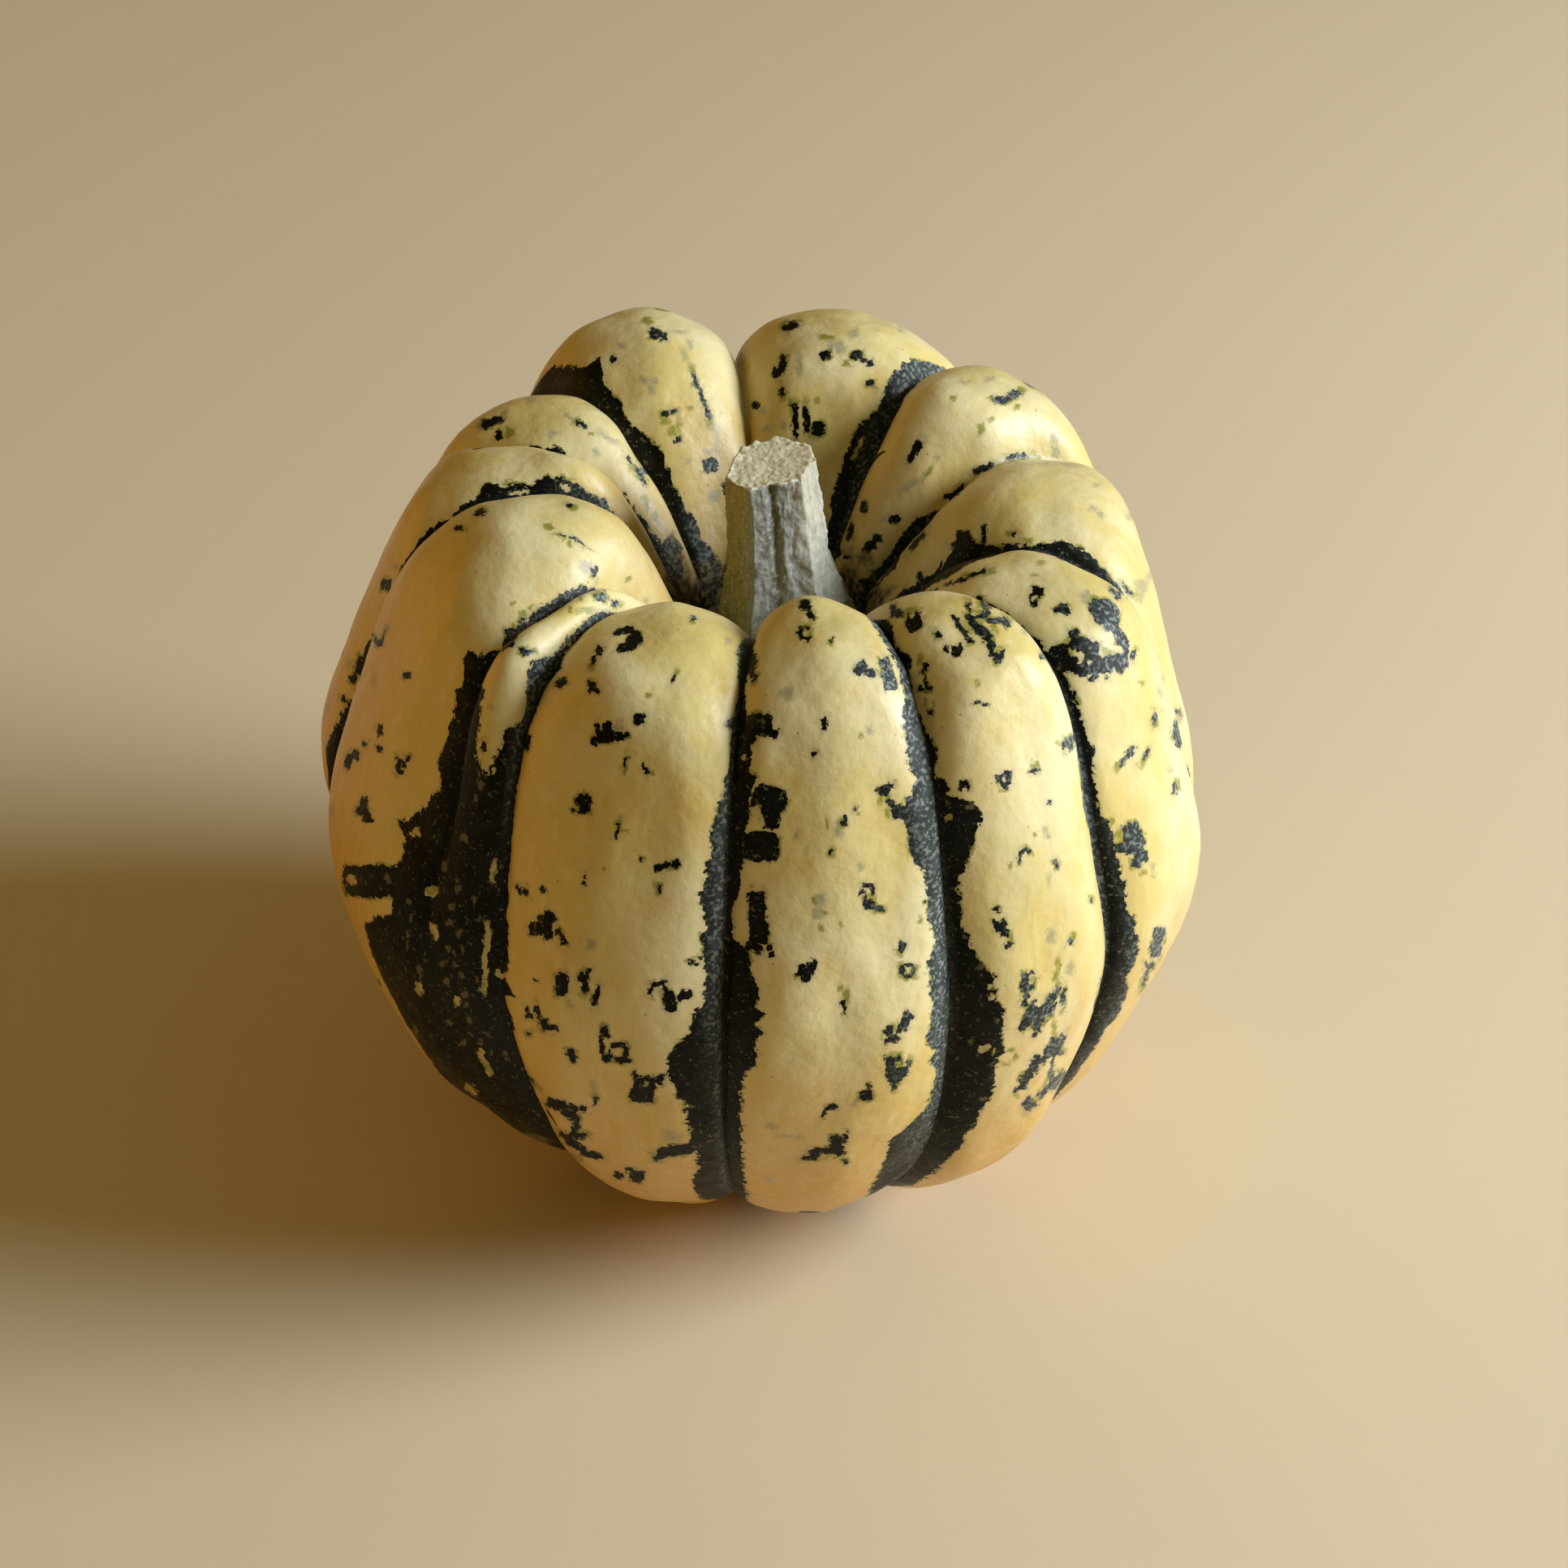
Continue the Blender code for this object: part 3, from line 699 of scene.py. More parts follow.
# %% Flecks read off the photograph, rib by rib
# Each is x, y, width and height in pixels, then its turn in degrees clockwise where it has one.
FLECKS = {
    "front right": {
        "dark": (
            (977, 735, 9, 5), (992, 747, 12, 11, 10), (999, 757, 6, 12, -35), (986, 779, 6, 12),
            (992, 787, 13, 7, 10), (992, 774, 12, 3, -5), (1024, 788, 3, 4), (925, 812, 14, 15),
            (926, 826, 7, 16), (919, 822, 8, 14, 20), (930, 836, 4, 8, 20), (919, 838, 4, 6),
            (1061, 823, 13, 17, -10), (1073, 829, 13, 9, 15), (1055, 826, 6, 6),
            (1091, 818, 13, 18, -15), (1095, 838, 14, 26, -12), (1016, 893, 7, 13, -3),
            (1018, 886, 3, 6), (1003, 929, 5, 7), (937, 893, 29, 26), (950, 903, 18, 10, 15),
            (924, 900, 14, 30), (948, 984, 40, 30, 12), (966, 988, 10, 10), (948, 1008, 24, 26),
            (938, 1043, 42, 36), (950, 1050, 16, 20), (933, 1122, 22, 50), (935, 1150, 24, 26),
            (930, 1168, 22, 10, 20), (948, 1167, 8, 6), (951, 1176, 6, 7), (1090, 974, 13, 12),
            (1097, 967, 6, 5), (1082, 972, 4, 4), (1099, 992, 8, 14, -30), (1103, 1003, 8, 10),
            (1110, 1000, 16, 14), (1054, 998, 3, 5), (1039, 1015, 6, 7), (1041, 1009, 3, 5),
            (1024, 1050, 3, 6), (1069, 1091, 12, 6),
            (1075, 1098, 4, 12), (1062, 1099, 6, 7), (1066, 1108, 4, 8), (1071, 1115, 13, 12),
            (1083, 1120, 11, 7), (1111, 1166, 8, 14, 15), (992, 1196, 20, 16),
            (993, 1206, 9, 10), (1002, 1190, 5, 14, 10), (1111, 1196, 6, 8), (1119, 1190, 12, 4),
            (1119, 1203, 12, 4), (1124, 1197, 4, 8), (1038, 1237, 5, 6), (1041, 1245, 4, 10),
            (1116, 1257, 12, 22, 30), (1094, 1270, 8, 12, 20), (1100, 1280, 16, 7, -20),
            (1108, 1268, 5, 14, 35), (1091, 1284, 6, 6), (1098, 1318, 14, 34, -5),
            (1106, 1307, 8, 12), (1112, 1320, 14, 12, -20), (1104, 1328, 18, 10, -10),
            (1120, 1310, 4, 8, 25), (1101, 1338, 5, 8), (1070, 1340, 6, 8), (1067, 1350, 16, 12),
            (1024, 1365, 15, 8, -12), (1015, 1373, 4, 7, 30), (1030, 1407, 14, 14),
            (1041, 1402, 6, 12, 15), (1015, 1418, 38, 9, -5), (1000, 1425, 24, 6, -6),
            (1034, 1418, 12, 12), (1041, 1432, 6, 4)),
        "yellow": (
            (1003, 1110, 4, 5), (1017, 1126, 4, 5),
            (989, 743, 9, 9), (998, 781, 6, 13), (1024, 790, 5, 8), (1061, 905, 4, 6),
            (1085, 986, 5, 12), (1095, 985, 6, 8), (1093, 1002, 4, 8), (1020, 1016, 3, 9),
            (1025, 1050, 5, 12, 20), (1084, 1116, 8, 6), (1134, 1133, 4, 6), (1012, 1144, 4, 6),
            (1035, 1140, 3, 6), (1127, 1194, 8, 8), (1034, 1217, 4, 6), (1042, 1228, 8, 18),
            (1101, 1267, 6, 8), (1092, 1288, 4, 4), (1105, 1333, 8, 6), (1071, 1336, 6, 6)),
        "ghost": (
            (964, 854, 6, 8), (970, 856, 12, 18), (1071, 900, 8, 8), (1034, 1020, 10, 22, 10),
            (981, 1028, 7, 10), (1061, 1068, 8, 8), (1010, 1108, 14, 16), (1008, 1125, 14, 14),
            (1054, 1358, 12, 6, -40), (952, 1388, 14, 6, 10), (972, 1400, 24, 4, 10),
            (948, 1454, 8, 4)),
        "cream": (
            (932, 1006, 12, 28, -14), (917, 933, 4, 6), (1106, 1312, 5, 7), (941, 1175, 8, 5)),
    },
    "front left": {
        "dark": (
            (770, 776, 24, 9, -5), (759, 780, 8, 5), (784, 785, 13, 18), (772, 797, 24, 10, -12),
            (776, 787, 7, 9), (739, 801, 8, 12, 25), (733, 812, 4, 14, 25), (730, 847, 9, 11),
            (735, 851, 5, 6), (727, 842, 4, 6), (788, 886, 12, 12), (794, 881, 5, 4, -30),
            (829, 837, 3, 13, 25), (736, 897, 5, 14, 5), (731, 913, 8, 12, 10),
            (745, 907, 22, 15), (748, 897, 12, 12), (763, 908, 14, 9), (771, 905, 5, 6, -20),
            (771, 939, 3, 12, 20), (792, 944, 4, 7), (796, 950, 5, 7, -30),
            (902, 891, 10, 14, 20), (854, 762, 8, 4), (692, 842, 14, 8, -30), (650, 912, 9, 9),
            (648, 919, 6, 9), (720, 990, 18, 22), (722, 980, 5, 6), (709, 998, 8, 4),
            (711, 989, 6, 8, -30), (763, 1018, 4, 6), (761, 1024, 4, 10, 15), (758, 1031, 5, 4),
            (720, 1079, 4, 4), (719, 1088, 5, 5), (811, 1069, 10, 7, -8),
            (820, 1066, 10, 7, -15), (832, 1064, 10, 9, -15), (811, 1096, 4, 7),
            (790, 1059, 3, 3), (669, 1096, 6, 7, -20), (640, 1096, 4, 11, -25),
            (647, 1099, 4, 11, -25), (672, 1133, 22, 14, -15), (666, 1144, 28, 14),
            (676, 1152, 12, 12), (675, 1126, 5, 7), (688, 1147, 6, 7, -20),
            (692, 1155, 5, 12, -35), (696, 1161, 8, 6, 10), (854, 1186, 8, 6), (863, 1181, 6, 4),
            (860, 1188, 5, 3), (692, 1213, 17, 26), (725, 1196, 9, 7), (719, 1204, 13, 8),
            (720, 1215, 8, 16), (735, 1226, 6, 24, 8), (661, 1209, 3, 3), (802, 1221, 6, 10, 20),
            (812, 1212, 18, 6, -5), (820, 1218, 6, 10, -30), (824, 1228, 12, 12),
            (826, 1240, 14, 14), (821, 1234, 8, 14), (838, 1229, 12, 8, -25),
            (846, 1226, 12, 9, -8), (662, 1244, 5, 12, -15), (665, 1251, 4, 6),
            (670, 1260, 10, 10), (675, 1266, 18, 8, 5), (684, 1268, 5, 4),
            (650, 1244, 4, 8, -10), (654, 1252, 6, 6), (650, 1253, 5, 4), (651, 1274, 4, 4),
            (649, 1325, 3, 34, -42), (745, 1272, 10, 14), (742, 1290, 6, 20), (747, 1303, 12, 9),
            (754, 1299, 6, 8), (756, 1288, 6, 5), (765, 1287, 14, 6, -5), (771, 1296, 6, 14),
            (766, 1306, 16, 7, 10), (775, 1308, 6, 6), (703, 1297, 10, 8),
            (706, 1304, 9, 10, -20), (793, 1343, 26, 30), (782, 1324, 6, 8, -20),
            (806, 1331, 20, 7, 5), (816, 1328, 8, 5), (786, 1352, 16, 10), (797, 1355, 16, 8),
            (779, 1347, 6, 8), (734, 1356, 4, 9), (718, 1366, 8, 6), (686, 1361, 26, 12, 18),
            (702, 1369, 18, 18, 30), (710, 1382, 7, 20), (706, 1392, 6, 8),
            (712, 1398, 20, 8, 10), (697, 1400, 16, 6, 25), (706, 1408, 18, 10, 30),
            (716, 1415, 14, 8, 25), (728, 1423, 26, 7, 8), (738, 1426, 10, 5), (683, 1400, 4, 4),
            (762, 1448, 9, 7, 25), (785, 1449, 16, 15, 10), (775, 1441, 8, 5),
            (835, 1417, 50, 13, -8), (812, 1426, 12, 7, -10)),
        "yellow": (
            (834, 828, 4, 8, 40), (802, 952, 8, 6), (763, 1012, 6, 6), (770, 1024, 6, 3),
            (744, 1071, 3, 4), (811, 1100, 6, 4), (798, 857, 5, 6), (771, 939, 5, 13, 20)),
        "ghost": (
            (764, 888, 5, 6), (762, 898, 14, 10), (765, 1007, 7, 7), (729, 1164, 11, 13),
            (731, 1340, 6, 16), (733, 1352, 6, 14, -10), (814, 1222, 8, 8), (825, 1395, 14, 6),
            (830, 1402, 24, 8), (701, 1236, 6, 14, -20), (898, 790, 5, 8)),
        "cream": (
            (767, 787, 9, 6, -15), (710, 995, 5, 4), (859, 1184, 5, 3), (760, 1297, 9, 10),
            (748, 1291, 5, 8), (795, 1335, 4, 6)),
    },
    "left twin": {
        "dark": (
            (644, 800, 8, 6), (650, 805, 9, 8), (656, 803, 6, 4), (597, 919, 4, 10),
            (595, 922, 5, 5)),
        "yellow": (
            (703, 752, 5, 6), (721, 752, 18, 5, -5), (641, 804, 5, 5)),
        "ghost": (
            (742, 753, 14, 4), (606, 871, 3, 6)),
        "cream": (
            (608, 1074, 5, 26, 4), (601, 1145, 5, 20), (600, 1162, 8, 24, 4), (597, 1188, 6, 34),
            (597, 1216, 7, 18), (593, 1297, 6, 10, -15), (599, 1312, 6, 28, -27),
            (578, 1340, 9, 7, 30), (584, 1345, 9, 6, 35), (563, 1233, 7, 10),
            (616, 1201, 12, 7, 30)),
        "olive": (
            (592, 967, 7, 12), (591, 953, 3, 8), (585, 983, 4, 9), (571, 1033, 7, 8),
            (548, 1068, 7, 12, 8), (565, 1095, 6, 9, -10), (585, 1107, 5, 7), (555, 1118, 7, 7),
            (554, 1137, 8, 8, 15), (565, 1150, 5, 9), (591, 1132, 5, 6), (552, 1170, 6, 7),
            (561, 1175, 3, 7), (570, 1170, 5, 9), (560, 1188, 4, 6), (545, 1187, 5, 6),
            (569, 1202, 5, 7, -20), (551, 1209, 5, 8), (587, 1207, 4, 6), (573, 1225, 6, 8),
            (575, 1237, 4, 6), (578, 1257, 6, 8, -25), (555, 1260, 8, 6, 30), (605, 1297, 3, 6),
            (622, 1297, 4, 6), (570, 1285, 5, 6), (592, 1285, 5, 3), (632, 1390, 30, 20, 25),
            (660, 1403, 34, 8, 15)),
    },
    "right": {
        "dark": (
            (1104, 755, 16, 8), (1100, 748, 6, 6), (1120, 759, 6, 10), (1127, 765, 18, 24),
            (1126, 776, 10, 4), (1157, 784, 7, 6), (1154, 782, 4, 8), (1169, 799, 8, 8),
            (1178, 802, 14, 12), (1183, 797, 5, 8), (1166, 802, 4, 4), (1176, 761, 5, 6),
            (1182, 770, 6, 18, -30), (1190, 783, 8, 16, -32), (1196, 789, 6, 6),
            (1195, 748, 6, 14, -20), (1207, 738, 8, 5), (1212, 745, 8, 10, -20),
            (1217, 752, 6, 12), (1210, 758, 14, 6), (1197, 759, 14, 7), (1199, 768, 12, 14, -35),
            (1207, 776, 14, 10, -30), (1214, 783, 12, 14, -35), (1221, 794, 8, 12, -20),
            (1222, 804, 6, 8, -10), (1229, 812, 10, 12), (1236, 806, 5, 12, 15),
            (1232, 765, 18, 8, 5), (1240, 767, 8, 10, -35), (1219, 765, 8, 6),
            (1284, 809, 5, 8, -20), (1140, 822, 7, 10, 10), (1135, 828, 3, 5), (1139, 835, 3, 8),
            (1142, 843, 5, 8, -10), (1136, 848, 6, 4), (1145, 848, 8, 5), (1146, 878, 5, 6, -10),
            (1203, 866, 6, 4), (1212, 868, 6, 5), (1311, 918, 5, 8, 15), (1317, 914, 12, 10),
            (1324, 908, 4, 14, 10), (1320, 921, 8, 5, -20), (1240, 955, 12, 8),
            (1232, 958, 8, 6, -10), (1238, 963, 14, 10), (1238, 969, 7, 8), (1187, 966, 10, 8),
            (1192, 970, 6, 7), (1184, 972, 6, 3), (1272, 951, 6, 4), (1276, 950, 8, 4),
            (1280, 949, 4, 4), (1292, 990, 5, 3), (1264, 1046, 8, 4), (1268, 1049, 5, 6, -20),
            (1259, 1049, 5, 4, -35), (1257, 1055, 3, 8), (1256, 1061, 4, 5), (1300, 1062, 3, 6),
            (1303, 1067, 4, 5), (1344, 1109, 3, 4), (1228, 1121, 6, 5), (1228, 1137, 8, 6),
            (1237, 1136, 5, 7), (1231, 1143, 14, 12), (1238, 1149, 10, 8), (1225, 1136, 5, 5),
            (1241, 1152, 4, 5), (1241, 1166, 6, 7), (1245, 1163, 6, 8, 20),
            (1319, 1160, 6, 8, 15), (1264, 1206, 10, 12), (1263, 1216, 8, 14),
            (1272, 1200, 8, 6, -35), (1274, 1212, 3, 14, 15), (1264, 1230, 6, 14, 10),
            (1269, 1217, 6, 6), (1262, 1236, 8, 4), (1265, 1258, 12, 12, 20),
            (1260, 1265, 8, 8, -10), (1272, 1247, 16, 18, 15), (1283, 1253, 12, 14, 15),
            (1277, 1264, 10, 12, 20), (1274, 1275, 5, 8, 20), (1292, 1240, 14, 22, 25),
            (1297, 1230, 8, 12, 10), (1286, 1244, 10, 8), (1302, 1222, 4, 14, 10),
            (1273, 1235, 4, 10, 30), (1310, 1228, 5, 20, 8), (1299, 1288, 10, 20, 15),
            (1308, 1284, 5, 18, 15), (1303, 1296, 14, 8, -10), (1293, 1296, 12, 10, 25),
            (1290, 1302, 14, 8, -30), (1280, 1307, 12, 10), (1278, 1304, 6, 8),
            (1274, 1313, 12, 14, 20), (1268, 1322, 10, 12, 25), (1262, 1330, 10, 12, 20),
            (1262, 1338, 8, 8), (1255, 1341, 10, 5, -35), (1297, 1310, 3, 30, 3),
            (1295, 1325, 5, 10), (1300, 1332, 14, 12), (1308, 1325, 10, 10), (1297, 1338, 12, 8),
            (1288, 1343, 14, 5, -45), (1281, 1349, 6, 8, 30), (1302, 1345, 6, 8),
            (1268, 1356, 8, 8), (1264, 1360, 8, 8), (1272, 1362, 14, 6, -35),
            (1268, 1366, 10, 4, -20), (1358, 1215, 4, 24, 15), (1352, 1232, 6, 16, 20),
            (1350, 1241, 5, 10, 15)),
        "yellow": (
            (1192, 744, 8, 6, 30), (1205, 744, 6, 8), (1208, 757, 10, 3),
            (1209, 768, 5, 10, -20), (1222, 758, 5, 4), (1219, 762, 4, 6), (1224, 772, 8, 8),
            (1229, 778, 3, 6), (1222, 788, 3, 14, -15), (1231, 803, 10, 4), (1232, 797, 8, 3),
            (1310, 847, 3, 14, -25), (1315, 855, 3, 12, -15), (1317, 867, 3, 12, -5),
            (1320, 872, 3, 6), (1134, 813, 6, 12, 10), (1139, 826, 4, 12), (1144, 842, 6, 8),
            (1141, 863, 4, 8), (1152, 868, 4, 6), (1208, 866, 4, 4), (1217, 868, 4, 4),
            (1205, 841, 4, 6), (1310, 914, 5, 6), (1304, 916, 3, 5), (1276, 944, 8, 8),
            (1270, 950, 6, 6), (1277, 1028, 4, 5), (1302, 1066, 4, 8), (1244, 1067, 4, 6),
            (1344, 1106, 3, 8, 15), (1225, 1120, 5, 3), (1245, 1156, 5, 8),
            (1322, 1154, 6, 8, 15), (1266, 1238, 8, 4), (1303, 1190, 4, 22, 3),
            (1300, 1203, 6, 12), (1299, 1265, 4, 14, 3), (1300, 1275, 3, 10), (1246, 1293, 8, 4),
            (1250, 1303, 4, 8, 30), (1240, 1310, 10, 4), (1252, 1349, 5, 5)),
        "ghost": (
            (1262, 778, 4, 10, -25), (1312, 927, 8, 10), (1288, 1023, 7, 8), (1291, 1030, 8, 8),
            (1292, 1086, 4, 12), (1295, 1153, 10, 18), (1319, 1194, 8, 14, 25),
            (1300, 1340, 12, 14), (1265, 1373, 8, 6)),
        "cream": (
            (1124, 756, 6, 7), (1171, 799, 2, 7, -30), (1237, 960, 2, 6),
            (1271, 1208, 5, 10, 15), (1203, 750, 12, 12), (1213, 766, 5, 10), (1169, 1008, 8, 8),
            (1213, 1292, 14, 8, -10), (1225, 1296, 4, 8, 20), (1222, 1215, 7, 6),
            (1222, 1228, 6, 8)),
        "olive": (
            (1227, 1257, 4, 6), (1167, 988, 4, 8), (1195, 994, 10, 4, -10), (1196, 1282, 6, 6),
            (1208, 1192, 7, 8), (1212, 1354, 6, 4)),
    },
    "far right": {
        "dark": (
            (1279, 728, 14, 10, 10), (1275, 735, 12, 8, 15), (1272, 743, 9, 8, 20),
            (1310, 750, 14, 10), (1304, 751, 8, 6), (1315, 754, 5, 6), (1312, 687, 18, 6, 10),
            (1205, 706, 22, 5, -15), (1185, 714, 22, 4, -22), (1170, 720, 12, 3, -20),
            (1323, 783, 12, 18, -10), (1330, 795, 30, 18), (1345, 800, 22, 18),
            (1352, 815, 36, 26), (1310, 805, 16, 22), (1300, 806, 14, 16), (1306, 820, 16, 16),
            (1320, 818, 16, 20), (1333, 825, 22, 14), (1345, 830, 16, 14), (1343, 836, 8, 8),
            (1358, 822, 26, 14), (1370, 815, 30, 16), (1384, 812, 14, 20),
            (1380, 822, 10, 12, 20), (1386, 800, 10, 16), (1382, 790, 14, 16, -20),
            (1376, 778, 12, 16, -30), (1350, 748, 16, 16), (1358, 745, 18, 14),
            (1367, 752, 16, 22, -25), (1372, 762, 14, 20), (1367, 768, 16, 20, -20),
            (1355, 760, 18, 16, -20), (1350, 740, 8, 6), (1370, 726, 5, 10, -20),
            (1376, 734, 7, 10, -30), (1380, 730, 4, 5), (1397, 806, 5, 12, 5), (1364, 835, 5, 5),
            (1324, 855, 6, 8), (1394, 925, 7, 12, 40), (1386, 936, 4, 20, 42),
            (1412, 930, 5, 18, 32), (1422, 885, 5, 16), (1452, 901, 13, 26), (1452, 912, 10, 16),
            (1451, 877, 6, 6), (1447, 972, 6, 14), (1428, 1153, 14, 18, 5),
            (1424, 1170, 12, 20, 8), (1416, 1190, 10, 8), (1411, 1205, 4, 24, 15),
            (1388, 1045, 26, 12), (1392, 1032, 16, 24), (1402, 1035, 14, 26, -10),
            (1396, 1018, 14, 10), (1404, 1052, 16, 22, -20), (1400, 1064, 12, 12),
            (1385, 1021, 8, 6)),
        "ghost": (
            (1338, 736, 10, 14, -20), (1451, 884, 12, 14), (1431, 875, 4, 8, 20),
            (1428, 853, 6, 14, -15), (1434, 833, 3, 16, 10), (1442, 948, 5, 8),
            (1420, 1068, 6, 8), (1420, 1079, 5, 5), (1397, 816, 5, 6)),
        "yellow": (
            (1282, 694, 8, 3), (1275, 708, 6, 3), (1330, 863, 6, 8), (1407, 841, 4, 5),
            (1370, 1011, 7, 8), (1409, 1075, 7, 6), (1378, 1027, 6, 12)),
        "cream": (
            (1275, 737, 7, 3, -15), (1322, 803, 8, 6), (1330, 808, 8, 10), (1331, 815, 5, 6),
            (1343, 816, 6, 5, -20), (1361, 803, 12, 12), (1378, 800, 8, 8), (1342, 832, 8, 4)),
    },
    "right of the crater": {
        "dark": (
            (1187, 666, 18, 24), (1180, 672, 18, 8), (1196, 676, 14, 18), (1207, 674, 12, 10),
            (1212, 657, 6, 24), (1134, 712, 8, 12), (1176, 607, 30, 7, -32),
            (1212, 577, 26, 7, -25), (1252, 562, 26, 6, -8), (1130, 667, 5, 28, 35),
            (1249, 658, 6, 5), (1388, 725, 3, 14, -35), (1392, 731, 8, 4, 30)),
        "ghost": (
            (1232, 568, 14, 4, -25), (1290, 571, 60, 3), (1318, 574, 14, 3, 15),
            (1348, 626, 10, 5, 15), (1356, 634, 10, 6, 45), (1353, 598, 6, 4),
            (1391, 636, 6, 10, -10), (1401, 651, 6, 20, -35), (1407, 722, 16, 16),
            (1405, 736, 8, 14, 10), (1417, 710, 6, 10)),
        "yellow": (
            (1245, 656, 8, 6), (1266, 666, 12, 6), (1285, 670, 6, 4), (1294, 673, 12, 5)),
    },
    "behind right": {
        "dark": (
            (1127, 556, 9, 28, 30), (1233, 492, 18, 8, -5), (1248, 487, 22, 8, -20),
            (1065, 625, 8, 14, 10), (1048, 655, 6, 22, 10), (1103, 639, 12, 9),
            (1081, 664, 12, 10), (1073, 671, 12, 10), (1067, 678, 7, 10, 20), (1045, 687, 9, 6)),
        "ghost": (
            (1220, 467, 10, 5), (1188, 470, 10, 4), (1299, 540, 10, 14), (1300, 556, 12, 16),
            (1155, 564, 6, 6), (1122, 597, 28, 6, -30), (1090, 640, 10, 6)),
        "yellow": (
            (1175, 490, 6, 6), (1209, 529, 7, 14), (1222, 518, 9, 5), (1143, 582, 5, 20, 40),
            (1253, 502, 8, 5)),
    },
    "back right": {
        "dark": (
            (974, 402, 20, 10, -25), (958, 459, 10, 9), (964, 448, 8, 20, 10),
            (964, 483, 6, 14, -5), (979, 503, 8, 14), (980, 522, 5, 34), (994, 518, 7, 34),
            (1008, 528, 16, 18), (1055, 438, 12, 8), (1064, 443, 8, 5, 30), (1072, 448, 8, 7),
            (1071, 472, 10, 7), (931, 499, 8, 8), (1017, 438, 14, 10, -30)),
        "ghost": (
            (960, 470, 6, 8), (938, 506, 10, 8), (985, 450, 6, 24), (1035, 428, 14, 14),
            (1025, 425, 10, 8), (1052, 411, 12, 8, -20), (1078, 479, 4, 12, -40),
            (1085, 388, 12, 4, 20), (1005, 538, 12, 10), (944, 528, 6, 6), (966, 525, 6, 10),
            (1110, 405, 8, 4, 35)),
        "yellow": (
            (1018, 415, 20, 6, 10), (1044, 448, 10, 8), (1008, 493, 8, 6)),
        "cream": (
            (1057, 552, 4, 30, 22),),
    },
    "back left": {
        "dark": (
            (808, 411, 14, 12), (818, 416, 8, 9), (876, 573, 17, 17), (756, 442, 6, 8),
            (834, 542, 7, 7), (819, 510, 8, 6, -20), (830, 506, 9, 5, -10),
            (893, 602, 6, 18, -25), (857, 470, 4, 20, -15), (865, 490, 4, 22, -18),
            (872, 508, 4, 18, -12)),
        "ghost": (
            (843, 436, 5, 14, -20), (850, 452, 5, 20, -18), (880, 525, 5, 16, -25),
            (884, 545, 6, 34, -3), (838, 410, 14, 4), (850, 424, 6, 12), (872, 558, 12, 8),
            (763, 425, 8, 6), (792, 468, 7, 7), (806, 470, 10, 8), (803, 480, 8, 12),
            (848, 568, 7, 7), (880, 612, 14, 14)),
        "yellow": (
            (820, 519, 10, 6), (828, 530, 10, 12), (837, 522, 3, 20), (798, 396, 14, 8, 30),
            (852, 503, 8, 5)),
    },
    "behind left": {
        "dark": (
            (600, 522, 16, 8, -20), (613, 517, 14, 8, -20), (615, 537, 8, 12),
            (776, 567, 4, 12, -25), (786, 580, 5, 18, -30), (793, 591, 5, 10, -30),
            (716, 523, 12, 6, 25)),
        "ghost": (
            (623, 508, 8, 5, -40), (655, 492, 14, 6), (682, 533, 14, 6), (679, 540, 5, 8),
            (701, 514, 12, 5, 28), (733, 557, 7, 12, -20), (750, 540, 30, 6, 35),
            (812, 645, 4, 14, -30)),
        "yellow": (
            (628, 532, 10, 12), (797, 620, 5, 20, -20), (807, 637, 5, 10, -20), (729, 534, 5, 5)),
    },
    "broad left": {
        "dark": (
            (444, 821, 12, 26, 15), (434, 837, 7, 9, 15), (424, 862, 6, 9, -15),
            (426, 886, 6, 12, 15), (420, 898, 7, 14, 20), (417, 907, 5, 12, 15),
            (437, 930, 10, 12, 15), (430, 938, 7, 20, 20), (476, 720, 12, 14), (463, 787, 4, 7),
            (468, 793, 7, 8), (472, 784, 3, 12, 15), (502, 833, 8, 7), (468, 900, 6, 13, -8),
            (450, 917, 5, 6), (467, 922, 8, 6), (491, 942, 6, 16, 10), (494, 950, 8, 5, 25),
            (498, 941, 5, 8), (501, 934, 8, 4, -15), (449, 991, 8, 16), (447, 1000, 14, 8),
            (453, 1009, 10, 10, -20), (628, 777, 9, 8), (644, 763, 6, 5), (591, 632, 12, 7, -20),
            (565, 651, 9, 4, -15), (701, 622, 8, 4, 20), (692, 658, 8, 3, 15),
            (706, 663, 8, 4, 30), (714, 668, 10, 2, 40), (740, 736, 14, 11), (758, 743, 7, 7),
            (731, 703, 8, 10), (455, 1086, 60, 40), (430, 1078, 14, 24), (486, 1100, 10, 14)),
        "ghost": (
            (430, 817, 6, 10, 20), (430, 874, 4, 12, 10), (406, 866, 4, 24, 15),
            (408, 998, 6, 14), (461, 838, 4, 20), (722, 699, 18, 16), (735, 715, 3, 10),
            (795, 739, 4, 6), (486, 698, 7, 8)),
        "yellow": (
            (633, 744, 4, 4), (643, 755, 8, 6), (654, 749, 4, 6), (677, 649, 10, 8),
            (696, 663, 3, 6), (703, 670, 5, 8, -10), (708, 626, 6, 5, 20), (774, 714, 8, 6),
            (714, 737, 6, 7), (702, 733, 3, 8), (719, 728, 5, 4), (731, 736, 3, 8),
            (750, 738, 4, 8), (766, 745, 4, 5), (727, 678, 8, 2, 30), (592, 628, 8, 7),
            (626, 595, 10, 6)),
        "cream": (
            (531, 1099, 14, 12, 20), (535, 1148, 7, 20, -12), (517, 1219, 7, 18, -12),
            (433, 1084, 9, 10, -20), (515, 1026, 7, 9), (507, 1028, 5, 4), (640, 607, 24, 4, -4),
            (697, 601, 12, 7)),
        "olive": (
            (478, 1083, 5, 12, -30), (504, 1110, 5, 7), (507, 1131, 5, 8), (503, 1152, 4, 7),
